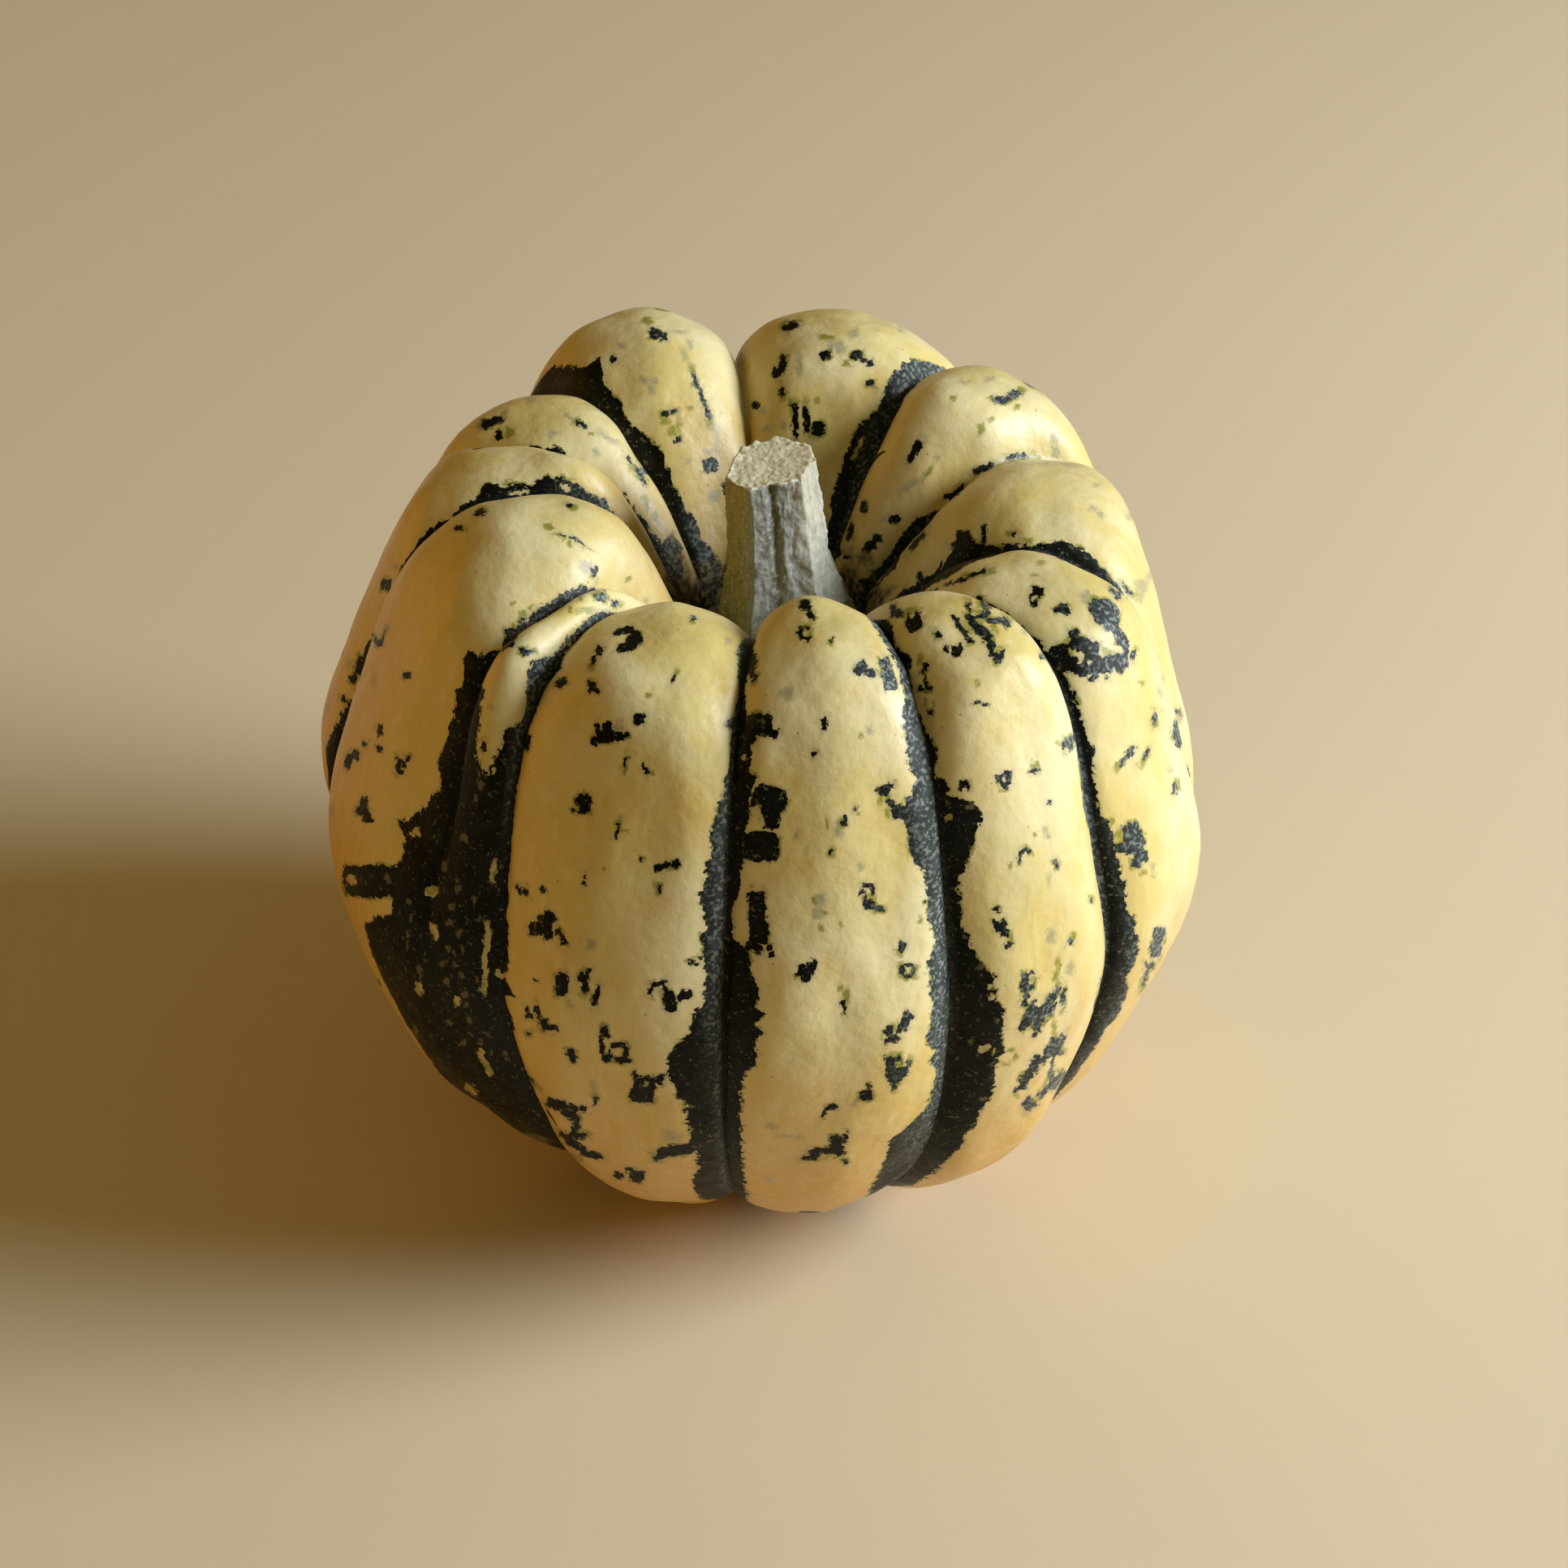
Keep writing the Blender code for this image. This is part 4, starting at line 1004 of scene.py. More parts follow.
            (512, 1270, 4, 16, -18), (531, 1309, 5, 8, -20), (517, 1197, 4, 16)),
    },
}
KINDS = ("dark", "yellow", "ghost", "cream", "olive")
Fleck = namedtuple("Fleck", "kind x y wide high turn", defaults=(0.0,))
photo_flecks = [Fleck(kind, *row) for kinds in FLECKS.values() for kind, rows in kinds.items()
                for row in rows]
print(len(photo_flecks), "flecks read off the photograph")

# %% [markdown]
# The far side needs flecks too. They are scattered by a seeded draw over the skin that the camera
# can't see, as small clumps of blocks with the sizes that the near side shows. Each block needs a
# frame of its own: its middle, and two directions that turn a corner's place into millimetres
# across and down the fleck. For a block read off the photograph those directions are the
# photograph's own, so it looks from the camera just as it was read.

# %% Place every fleck on the skin
PIXELS_PER_MM = 10.2  # at the squash's distance
GROWN = 0.06  # millimetres that the ragged edge takes off a block again
HIDDEN_CLUMPS = 230
HIDDEN_KINDS = (0.72, 0.12, 0.16)  # shares of dark, yellow and ghost ones
SIDEWAYS = 0.12  # skin that faces the camera less than this counts as unseen
CLEAR_OF_STRIPE = 0.6  # millimetres
SCATTER_FROM, SCATTER_TO = 1.0, 8.7  # stations
CLUMP_SIZE = (-0.15, 0.45)  # mean and spread of the logarithm of its size in millimetres
SMALL_CLUMP = 0.8  # millimetres, below which a clump is one block
SEEN_COUNTS = 0.25  # a draw that falls where the camera sees counts for this much of a clump
Placed = namedtuple("Placed", "middle across down half_wide half_high kind pixel")
draw = random.Random(11)


def turned(first, second, degrees):
    """Turn two directions in their own plane."""
    angle = math.radians(degrees)
    return (first * math.cos(angle) + second * math.sin(angle),
            second * math.cos(angle) - first * math.sin(angle))


def place_photo_flecks():
    placed = []
    for fleck in photo_flecks:
        cast = cast_on_skin(fleck.x, fleck.y)
        if cast is None:
            print("no skin under the fleck at", fleck.x, fleck.y)
            continue
        across, down = turned(np.array([1.0, 0.0]), np.array([0.0, 1.0]), fleck.turn)
        half_wide, half_high = (side / 2 / PIXELS_PER_MM + GROWN for side in (fleck.wide, fleck.high))
        placed.append(Placed(np.array(cast[0]), across, down, half_wide, half_high,
                             KINDS.index(fleck.kind), np.array([fleck.x, fleck.y], float)))
    return placed


def camera_sees(place, normal):
    """Whether a point of the skin shows in the photograph."""
    eye = camera.location
    toward = Vector(place) - eye
    if -toward.normalized().dot(Vector(normal)) < SIDEWAYS:
        return False
    hit, found, _, _ = skin.ray_cast(eye, toward.normalized())
    return hit and (found - eye).length > toward.length - 1.5 * MM


def place_hidden_flecks():
    place, normal = vertex_places(skin), vertex_normals(skin)
    field = spread_to_vertices(stripes, 0.0)
    station = stations[np.clip(vertex_row, 0, OUTLINE_ROWS - 1)]
    candidates = np.flatnonzero((field > CLEAR_OF_STRIPE) & (station > SCATTER_FROM)
                                & (station < SCATTER_TO))
    placed, clumps = [], 0
    while clumps < HIDDEN_CLUMPS:
        index = draw.choice(candidates)
        if camera_sees(place[index], normal[index]):
            clumps += SEEN_COUNTS
            continue
        clumps += 1
        out = Vector(normal[index])
        down = (Vector((0, 0, -1)) - out * out.dot(Vector((0, 0, -1)))).normalized()
        across = down.cross(out)
        size = draw.lognormvariate(*CLUMP_SIZE)
        kind = draw.choices(range(3), HIDDEN_KINDS)[0]
        blocks = 1 if size < SMALL_CLUMP else draw.choice((1, 2, 2, 3))
        for _ in range(blocks):
            shift = size * (blocks > 1)
            middle = (Vector(place[index]) + across * draw.uniform(-shift, shift) * MM
                      + down * draw.uniform(-shift, shift) * MM)
            first, second = turned(np.array(across), np.array(down), draw.uniform(-35, 35))
            half_wide = size * draw.uniform(0.4, 1.0)
            half_high = size * draw.uniform(0.6, 1.5)
            placed.append(Placed(np.array(middle), first, second, half_wide, half_high, kind, None))
    return placed


placed_flecks = place_photo_flecks() + place_hidden_flecks()
print(len(placed_flecks), "blocks on the skin")

# %% Give each face its four nearest flecks
LAYERS = 4
MARGIN = 1.3  # millimetres around a fleck in which the faces know it
SLANT_STRETCH = 2.5  # how much longer a fleck may get where the skin slants from the camera
FAR_AWAY = 99.0


def fleck_coordinates(fleck, points):
    """Millimetres across and down a fleck of points in metres."""
    if fleck.pixel is None:
        offset = (points - fleck.middle) / MM
        return offset @ fleck.across, offset @ fleck.down
    offset = (photo_pixels(points) - fleck.pixel) / PIXELS_PER_MM
    return offset @ fleck.across, offset @ fleck.down


def block_reach(fleck, points):
    """How far out of a fleck's box points are: below 1 inside it."""
    x, y = fleck_coordinates(fleck, points)
    return np.maximum(np.abs(x / fleck.half_wide), np.abs(y / fleck.half_high))


def face_tables(obj):
    """Corner vertices and middles of the faces, with the three-cornered ones filled up."""
    mesh = obj.data
    starts = np.zeros(len(mesh.polygons), int)
    counts = np.zeros(len(mesh.polygons), int)
    mesh.polygons.foreach_get("loop_start", starts)
    mesh.polygons.foreach_get("loop_total", counts)
    corner_vertex = np.zeros(len(mesh.loops), int)
    mesh.loops.foreach_get("vertex_index", corner_vertex)
    middles = np.zeros(len(mesh.polygons) * 3)
    mesh.polygons.foreach_get("center", middles)
    return starts, counts, corner_vertex, middles.reshape(-1, 3)


def store_fleck_layers():
    starts, counts, corner_vertex, middles = face_tables(skin)
    places = vertex_places(skin)
    normals = np.zeros(len(middles) * 3)
    skin.data.polygons.foreach_get("normal", normals)
    normals = normals.reshape(-1, 3)
    seen = np.einsum("ij,ij->i", normals, np.array(camera.location) - middles) > 0.0
    nearest = np.full((len(middles), LAYERS), np.inf)
    owner = np.full((len(middles), LAYERS), -1)
    for number, fleck in enumerate(placed_flecks):
        reach = math.hypot(fleck.half_wide, fleck.half_high) + MARGIN
        stretch = 1.0 if fleck.pixel is None else SLANT_STRETCH
        close = np.linalg.norm(middles - fleck.middle, axis=1) < reach * stretch * MM
        if fleck.pixel is not None:
            close &= seen
        faces = np.flatnonzero(close)
        if not len(faces):
            continue
        x, y = fleck_coordinates(fleck, middles[faces])
        faces = faces[(np.abs(x) < reach) & (np.abs(y) < reach)]
        if not len(faces):
            continue
        score = block_reach(fleck, middles[faces])
        worst = np.argmax(nearest[faces], axis=1)
        better = score < nearest[faces, worst]
        nearest[faces[better], worst[better]] = score[better]
        owner[faces[better], worst[better]] = number

    corner_face = np.repeat(np.arange(len(middles)), counts)
    for layer in range(LAYERS):
        where = np.full((len(corner_vertex), 3), FAR_AWAY)
        form = np.ones((len(corner_vertex), 3))
        corner_owner = owner[corner_face, layer]
        for number, fleck in enumerate(placed_flecks):
            corners = np.flatnonzero(corner_owner == number)
            if not len(corners):
                continue
            x, y = fleck_coordinates(fleck, places[corner_vertex[corners]])
            where[corners] = np.stack([x, y, np.full(len(x), float(fleck.kind))], axis=1)
            form[corners] = (fleck.half_wide, fleck.half_high, 1.0)
        for name, values in (("fleck_place", where), ("fleck_form", form)):
            attribute = skin.data.attributes.new(f"{name}_{layer}", "FLOAT_VECTOR", "CORNER")
            attribute.data.foreach_set("vector", values.astype(np.float32).ravel())
    return int((owner[:, -1] >= 0).sum())


crowded = store_fleck_layers()
print(crowded, "faces know", LAYERS, "flecks")

# %% [markdown]
# ## Colours and nodes
#
# Colours are written as the sRGB values that a colour picker shows, and the shader works in linear
# light, so one function turns one into the other. One more adds a node with its settings and
# links, which keeps a material readable from top to bottom.

# %% Helpers for materials
MATH, VECTOR_MATH, RANGE = "ShaderNodeMath", "ShaderNodeVectorMath", "ShaderNodeMapRange"
NOISE, CELLS, MIX = "ShaderNodeTexNoise", "ShaderNodeTexVoronoi", "ShaderNodeMix"
SPLIT, ATTRIBUTE = "ShaderNodeSeparateXYZ", "ShaderNodeAttribute"
SMOOTH = {"interpolation_type": "SMOOTHSTEP"}


def linear(hex_color):
    """Linear RGBA of an sRGB colour such as "e9d49b"."""
    shares = [int(hex_color[start:start + 2], 16) / 255 for start in (0, 2, 4)]
    return (*(s / 12.92 if s <= 0.04045 else ((s + 0.055) / 1.055) ** 2.4 for s in shares), 1.0)


def per_metre(millimetres):
    """Texture scale for features of this size, because Object coordinates are in metres."""
    return 1.0 / (millimetres * MM)


def add(tree, kind, *values, **settings):
    """Add a node.

    Values go to its open inputs in order, and None leaves one alone. Settings go to its
    properties, or to the input of that name. A node given as a value is linked by its first
    open output.
    """
    node = tree.nodes.new(kind)
    named = {}
    for key, value in settings.items():
        if hasattr(node, key):
            setattr(node, key, value)
        else:
            named[key.replace("_", " ")] = value
    pairs = list(zip([socket for socket in node.inputs if socket.enabled], values))
    pairs += [(node.inputs[name], value) for name, value in named.items()]
    for socket, value in pairs:
        if isinstance(value, bpy.types.Node):
            value = next(output for output in value.outputs if output.enabled)
        if isinstance(value, bpy.types.NodeSocket):
            tree.links.new(value, socket)
        elif value is not None:
            socket.default_value = value
    return node


def new_material(name):
    material = bpy.data.materials.new(name)
    material.use_nodes = True
    material.node_tree.nodes.clear()
    return material


# %% [markdown]
# ## One fleck in the shader
#
# A node group turns a corner's place in a fleck into a distance: across and down over the half
# width and half height give a rounded block, and the noise that is added first makes it ragged.
# The group answers once for each kind of fleck, and gives a distance far away for the other kinds.

# %% Node group for the flecks
BLOCKINESS = 4.0  # 2 gives an ellipse, more gives a squarer block


def make_fleck_group():
    group = bpy.data.node_groups.new("ragged_fleck", "ShaderNodeTree")
    for name in ("Place", "Form", "Rag"):
        group.interface.new_socket(name, in_out="INPUT", socket_type="NodeSocketVector")
    for name in KINDS:
        group.interface.new_socket(name, in_out="OUTPUT", socket_type="NodeSocketFloat")
    start = add(group, "NodeGroupInput")
    kind = add(group, SPLIT, start.outputs["Place"]).outputs[2]
    form = add(group, SPLIT, start.outputs["Form"])
    moved = add(group, VECTOR_MATH, start.outputs["Place"], start.outputs["Rag"], operation="ADD")
    share = add(group, VECTOR_MATH, moved, start.outputs["Form"], operation="DIVIDE")
    share = add(group, SPLIT, add(group, VECTOR_MATH, share, operation="ABSOLUTE"))
    powers = [add(group, MATH, share.outputs[axis], BLOCKINESS, operation="POWER") for axis in (0, 1)]
    total = add(group, MATH, *powers, operation="ADD")
    reach = add(group, MATH, total, 1.0 / BLOCKINESS, operation="POWER")
    narrow = add(group, MATH, form.outputs[0], form.outputs[1], operation="MINIMUM")
    outside = add(group, MATH, reach, 1.0, operation="SUBTRACT")
    distance = add(group, MATH, outside, narrow, operation="MULTIPLY")
    end = add(group, "NodeGroupOutput")
    for number, name in enumerate(KINDS):
        same = add(group, MATH, kind, float(number), 0.3, operation="COMPARE")
        other = add(group, MATH, 1.0, same, operation="SUBTRACT")
        answer = add(group, MATH, other, FAR_AWAY, distance, operation="MULTIPLY_ADD")
        group.links.new(answer.outputs[0], end.inputs[name])
    return group


fleck_group = make_fleck_group()
print("group", fleck_group.name, len(fleck_group.nodes), "nodes")

# %% [markdown]
# ## The skin's finish
#
# The skin is a living rind: cream and waxy, with orange showing through in clouds and small brown
# pores. Its left side and its underside are painted gold for their warm shade. The stripes are a
# dark green, near black at their rims, peppered with tiny pale specks, and on the side towards the
# window they carry a painted grey sheen for the window's reflection. The wax on the cream is a clear
# coat with a broad soft highlight. The sheen could be a coat too, but that would mirror the pale
# floor and lift the green all round, so it is a painted tint and pale grains on the vertices that
# face the window. Subsurface scattering is left out, because it blurs the sharp marks, and the
# painted warm shade gives the warmth that it would add.

# %% Ragged edges
EDGE_SOFT = 0.06  # millimetres over which a mark's edge turns from skin to green


def make_rag(tree, where):
    """A small random shift in millimetres: soft wobble, and square chips."""
    wobble = add(tree, NOISE, where, per_metre(1.6), 3.0, 0.6)
    wobble = add(tree, VECTOR_MATH, wobble.outputs["Color"], (0.5, 0.5, 0.5), operation="SUBTRACT")
    wobble = add(tree, VECTOR_MATH, wobble, Scale=0.85, operation="SCALE")
    chips = add(tree, CELLS, where, per_metre(0.5), distance="CHEBYCHEV")
    chips = add(tree, VECTOR_MATH, chips.outputs["Color"], (0.5, 0.5, 0.5), operation="SUBTRACT")
    chips = add(tree, VECTOR_MATH, chips, Scale=0.34, operation="SCALE")
    return add(tree, VECTOR_MATH, wobble, chips, operation="ADD"), chips


def mark_distances(tree, where):
    """Millimetres to the nearest mark of each kind, below zero inside it."""
    rag, chips = make_rag(tree, where)
    stripe = add(tree, ATTRIBUTE, attribute_name="stripe").outputs["Fac"]
    wander = add(tree, NOISE, where, per_metre(1.9), 4.0, 0.7)
    wander = add(tree, MATH, wander, 2.0, -1.0, operation="MULTIPLY_ADD")
    wander = add(tree, MATH, add(tree, SPLIT, chips), 1.6, wander, operation="MULTIPLY_ADD")
    nearest = {"dark": add(tree, MATH, stripe, wander, operation="ADD")}
    for layer in range(LAYERS):
        place = add(tree, ATTRIBUTE, attribute_name=f"fleck_place_{layer}").outputs["Vector"]
        form = add(tree, ATTRIBUTE, attribute_name=f"fleck_form_{layer}").outputs["Vector"]
        fleck = add(tree, "ShaderNodeGroup", node_tree=fleck_group, Place=place, Form=form, Rag=rag)
        for name in KINDS:
            found = fleck.outputs[name]
            if name in nearest:
                found = add(tree, MATH, nearest[name], found, operation="MINIMUM")
            nearest[name] = found
    return nearest


# %% Cream of the rind
# The gold and the low cream colour are painted warm shade, for the side away from the window and the
# underside.
CREAM_PALE, CREAM_DEEP, CREAM_ORANGE, CREAM_LOW_SHADE = "eadfa8", "decb7c", "d8b04e", "dca024"
WARM_SHADE_GOLD, STREAK_PALE, PORE_BROWN = "dcbc5e", "f0e8c0", "8a6430"


def cream_ground(tree, where, height):
    """Clouds down the ribs, with painted warm shade: gold on the left, deeper near the floor."""
    upright = add(tree, "ShaderNodeMapping", where, Scale=(1.0, 1.0, 0.55))
    clouds = add(tree, NOISE, upright, per_metre(12.0), 3.0, 0.55)
    clouds = add(tree, RANGE, clouds, 0.36, 0.66, **SMOOTH)
    ground = add(tree, MIX, clouds, linear(CREAM_PALE), linear(CREAM_DEEP), data_type="RGBA")
    mottle = add(tree, NOISE, upright, per_metre(5.5), 4.0, 0.6)
    mottle = add(tree, RANGE, mottle, 0.5, 0.75, 0.0, 0.45, **SMOOTH)
    ground = add(tree, MIX, mottle, ground, linear(CREAM_ORANGE), data_type="RGBA")
    # Painted warm shade: gold where the skin faces away from the window and down, deepest near the
    # floor and at the far left.
    warm_shade = add(tree, ATTRIBUTE, attribute_name="warm_shade").outputs["Fac"]
    ground = add(tree, MIX, warm_shade, ground, linear(WARM_SHADE_GOLD), data_type="RGBA")
    deepest_warm_shade = add(tree, RANGE, warm_shade, 0.78, 0.9, 0.0, 0.6, **SMOOTH)
    low = add(tree, RANGE, height, 5.0 * MM, 60.0 * MM, 0.85, 0.0, **SMOOTH)
    low = add(tree, MATH, low, deepest_warm_shade, operation="MAXIMUM")
    return add(tree, MIX, low, ground, linear(CREAM_LOW_SHADE), data_type="RGBA")


def streaked(tree, where, ground):
    """Pale streaks that run down the ribs."""
    streak_at = add(tree, "ShaderNodeMapping", where, Scale=(1.0, 1.0, 0.12))
    streaks = add(tree, NOISE, streak_at, per_metre(1.3), 3.0, 0.6)
    streaks = add(tree, RANGE, streaks, 0.5, 0.72, 0.0, 0.22, **SMOOTH)
    return add(tree, MIX, streaks, ground, linear(STREAK_PALE), data_type="RGBA")


def pores(tree, where):
    """How much of a pore there is: a dot in the middle of some cells."""
    cells = add(tree, CELLS, where, per_metre(2.6))
    dot = add(tree, RANGE, cells, 0.03, 0.06, 0.7, 0.0, **SMOOTH)
    chance = add(tree, SPLIT, cells.outputs["Color"]).outputs[0]
    chosen = add(tree, MATH, chance, 0.62, operation="GREATER_THAN")
    return add(tree, MATH, dot, chosen, operation="MULTIPLY")


# %% Crater and its corky collar
# The ochre is painted shade, deepest in the crater round the stem.
CRATER_SHADE_OCHRE, COLLAR_DARK, COLLAR_PALE = "b8914a", "3e341c", "8f8460"


def crater_shares(tree, where, height):
    """Painted ochre shade and corkiness of the crater, by the distance from the stem's axis."""
    from_axis = add(tree, VECTOR_MATH, where, (-AXIS[0] * MM, 0.0, 0.0), operation="ADD")
    from_axis = add(tree, VECTOR_MATH, from_axis, (1.0, 1.0, 0.0), operation="MULTIPLY")
    from_axis = add(tree, VECTOR_MATH, from_axis, operation="LENGTH").outputs["Value"]
    top_side = add(tree, RANGE, height, 40.0 * MM, 50.0 * MM)
    crater_shade = add(tree, RANGE, from_axis, 11.0 * MM, 27.0 * MM, 0.6, 0.0, **SMOOTH)
    ragged = add(tree, NOISE, where, per_metre(3.0), 4.0)
    ragged = add(tree, MATH, ragged, 9.0 * MM, from_axis, operation="MULTIPLY_ADD")
    collar = add(tree, RANGE, ragged, 16.0 * MM, 18.5 * MM, 1.0, 0.0, **SMOOTH)
    return [add(tree, MATH, share, top_side, operation="MULTIPLY") for share in (crater_shade, collar)]


def cork(tree, where):
    crumbs = add(tree, NOISE, where, per_metre(0.8), 3.0)
    crumbs = add(tree, RANGE, crumbs, 0.42, 0.64, **SMOOTH)
    return add(tree, MIX, crumbs, linear(COLLAR_DARK), linear(COLLAR_PALE), data_type="RGBA")


# %% Ghosts and yellow fringes on the cream
GHOST_GREY, GREEN_YELLOW = "8f9078", "8c8c1c"


def marked(tree, where, nearest, ground):
    """Ghosts lie under the skin, so they are soft, and so is a grey shade round each dark mark.

    A yellow-green fringe shows round the dark marks in places.
    """
    ghost = add(tree, RANGE, nearest["ghost"], -0.35, 0.3, 0.65, 0.0, **SMOOTH)
    shade = add(tree, RANGE, nearest["dark"], 0.0, 0.5, 0.3, 0.0, **SMOOTH)
    ghost = add(tree, MATH, ghost, shade, operation="MAXIMUM")
    ground = add(tree, MIX, ghost, ground, linear(GHOST_GREY), data_type="RGBA")
    patchy = add(tree, NOISE, where, per_metre(2.6), 2.0)
    patchy = add(tree, RANGE, patchy, 0.5, 0.58, **SMOOTH)
    fringe = add(tree, RANGE, nearest["dark"], 0.08, 0.42, 0.8, 0.0, **SMOOTH)
    fringe = add(tree, MATH, fringe, patchy, operation="MULTIPLY")
    yellow = add(tree, RANGE, nearest["yellow"], -0.2, 0.2, 0.9, 0.0, **SMOOTH)
    yellow = add(tree, MATH, yellow, fringe, operation="MAXIMUM")
    return add(tree, MIX, yellow, ground, linear(GREEN_YELLOW), data_type="RGBA")


# %% Dark green of the stripes and flecks
# The grey and the pale grains are a painted sheen, standing for the window's reflection on the green
# that faces it.
GREEN_BLACK, GREEN_GREY, GREEN_SHEEN_GREY, SHEEN_GLINT_PALE = "070805", "171a15", "4e5855", "98a09c"
SPECK_PALE, SPECK_OLIVE, OLIVE = "7c8478", "6c6a44", "6e6840"
# Size in millimetres, threshold, strength and colour of the specks, fine and coarse.
SPECKS = ((0.45, 0.63, 0.5, SPECK_PALE), (1.0, 0.64, 0.7, SPECK_OLIVE))


def sheened_green(tree, where, nearest, painted_sheen):
    """Black at the rim and in patches, greyer inside, with a painted grey sheen towards the window."""
    tone = add(tree, NOISE, where, per_metre(2.4), 4.0, 0.65)
    tone = add(tree, RANGE, tone, 0.35, 0.68, **SMOOTH)
    inner = add(tree, RANGE, nearest["dark"], -0.9, -0.15, 1.0, 0.15, **SMOOTH)
    tone = add(tree, MATH, tone, inner, operation="MULTIPLY")
    green = add(tree, MIX, tone, linear(GREEN_BLACK), linear(GREEN_GREY), data_type="RGBA")
    sheen_patches = add(tree, RANGE, tone, 0.0, 1.0, 0.55, 1.0)
    sheen_patches = add(tree, MATH, sheen_patches, painted_sheen, operation="MULTIPLY")
    return add(tree, MIX, sheen_patches, green, linear(GREEN_SHEEN_GREY), data_type="RGBA")


def dark_green(tree, where, nearest):
    """The green with its specks, painted pale glints towards the window, and its olive streaks."""
    painted_sheen = add(tree, ATTRIBUTE, attribute_name="painted_sheen").outputs["Fac"]
    green = sheened_green(tree, where, nearest, painted_sheen)
    for size, least, share, tint in SPECKS:
        speck = add(tree, NOISE, where, per_metre(size), 2.0)
        # Most olive specks give way to the painted sheen.
        if tint == SPECK_OLIVE:  # the bloom hides most of these
            speck = add(tree, MATH, painted_sheen, -0.08, speck, operation="MULTIPLY_ADD")
        speck = add(tree, RANGE, speck, least, least + 0.08, 0.0, share, **SMOOTH)
        green = add(tree, MIX, speck, green, linear(tint), data_type="RGBA")
    # Pale grains only where the skin faces the window: painted glints.
    grain = add(tree, NOISE, where, per_metre(0.5), 2.0)
    grain = add(tree, RANGE, grain, 0.49, 0.63, 0.0, 0.75, **SMOOTH)
    grain = add(tree, MATH, grain, painted_sheen, operation="MULTIPLY")
    green = add(tree, MIX, grain, green, linear(SHEEN_GLINT_PALE), data_type="RGBA")
    olive = add(tree, RANGE, nearest["olive"], -0.15, 0.1, 0.85, 0.0, **SMOOTH)
    return add(tree, MIX, olive, green, linear(OLIVE), data_type="RGBA")


# %% Skin material
def skin_relief(tree, where, pore):
    """Fine pebbling, shallow dents and sunk pores."""
    pebble = add(tree, NOISE, where, per_metre(0.9), 3.0)
    dents = add(tree, NOISE, where, per_metre(2.6), 1.0)
    relief = add(tree, MATH, dents, 2.2, pebble, operation="MULTIPLY_ADD")
    relief = add(tree, MATH, pore, -0.6, relief, operation="MULTIPLY_ADD")
    return add(tree, "ShaderNodeBump", Height=relief, Strength=0.5, Distance=0.14 * MM)


def make_skin_material():
    material = new_material("waxy_squash_rind")
    tree = material.node_tree
    where = add(tree, "ShaderNodeTexCoord").outputs["Object"]
    height = add(tree, SPLIT, where).outputs[2]
    nearest = mark_distances(tree, where)
    crater_shade, collar = crater_shares(tree, where, height)
    pore = pores(tree, where)

    ground = cream_ground(tree, where, height)
    # Painted shade in the crater, in ochre.
    ground = add(tree, MIX, crater_shade, ground, linear(CRATER_SHADE_OCHRE), data_type="RGBA")
    ground = streaked(tree, where, ground)
    ground = add(tree, MIX, pore, ground, linear(PORE_BROWN), data_type="RGBA")
    ground = marked(tree, where, nearest, ground)
    dark = add(tree, RANGE, nearest["dark"], -EDGE_SOFT, EDGE_SOFT, 1.0, 0.0, **SMOOTH)
    cream = add(tree, RANGE, nearest["cream"], -EDGE_SOFT, EDGE_SOFT, 0.0, 1.0, **SMOOTH)
    dark = add(tree, MATH, dark, cream, operation="MULTIPLY")
    color = add(tree, MIX, dark, ground, dark_green(tree, where, nearest), data_type="RGBA")
    color = add(tree, MIX, collar, color, cork(tree, where), data_type="RGBA")

    # The wax is glossier in some places, and it lies as a coat on the cream alone.
    gloss = add(tree, NOISE, where, per_metre(6.0), 3.0)
    gloss = add(tree, RANGE, gloss, 0.3, 0.7, 0.36, 0.47, **SMOOTH)
    wax = add(tree, RANGE, dark, 0.0, 1.0, 0.8, 0.0)
    bump = skin_relief(tree, where, pore)
    shader = add(tree, "ShaderNodeBsdfPrincipled", Base_Color=color, Roughness=gloss, IOR=1.46,
                 Specular_IOR_Level=0.14, Coat_Weight=wax, Coat_Roughness=0.44, Coat_IOR=1.5,
                 Normal=bump, Coat_Normal=bump)
    add(tree, "ShaderNodeOutputMaterial", Surface=shader)
    return material


skin.data.materials.append(make_skin_material())
print("skin material", len(skin.data.materials[0].node_tree.nodes), "nodes")

# %% [markdown]
# ## The stem
#
# The dry stem is a corky post with sharp ridges and a dished, ragged cut. Its ridges and its flare
# follow the photograph: a face on the left that the material paints brown for its warm shade, a
# channel down the front, and a buttress at the foot on the right. It could be extruded from a
# five-sided outline, but its faces swell and hollow on their way down, so it is a cylinder cut into
# rings, like the skin. The first row is the middle of the cut, and the rows run out to the rim,
# down the side and in under the foot.

# %% Shape of the stem
STEM_FOOT = CREST_OUTLINE[0, 1] + 0.05
STEM_HEIGHT = 25.3
STEM_SEGMENTS = 220
CUT_RINGS, SIDE_RINGS, FOOT_RINGS = 26, 121, 5
STEM_OUTLINE = np.array([(5.45, 0.0), (5.6, 3.0), (5.95, 8.0), (6.5, 13.0), (7.8, 17.5),
                         (9.0, 22.0), (9.9, 25.3)])  # radius at a depth below the cut
STEM_LEAN = ((-0.3, 0.3), (1.2, 0.0))  # place of the axis at the cut and at the foot
RIDGES = (-65.0, -21.0, 41.0, 90.0, 124.0, 173.0, 221.0)  # azimuths in degrees
RIDGE_HEIGHTS = (1.02, 1.12, 1.02, 0.98, 1.06, 1.04, 0.94)
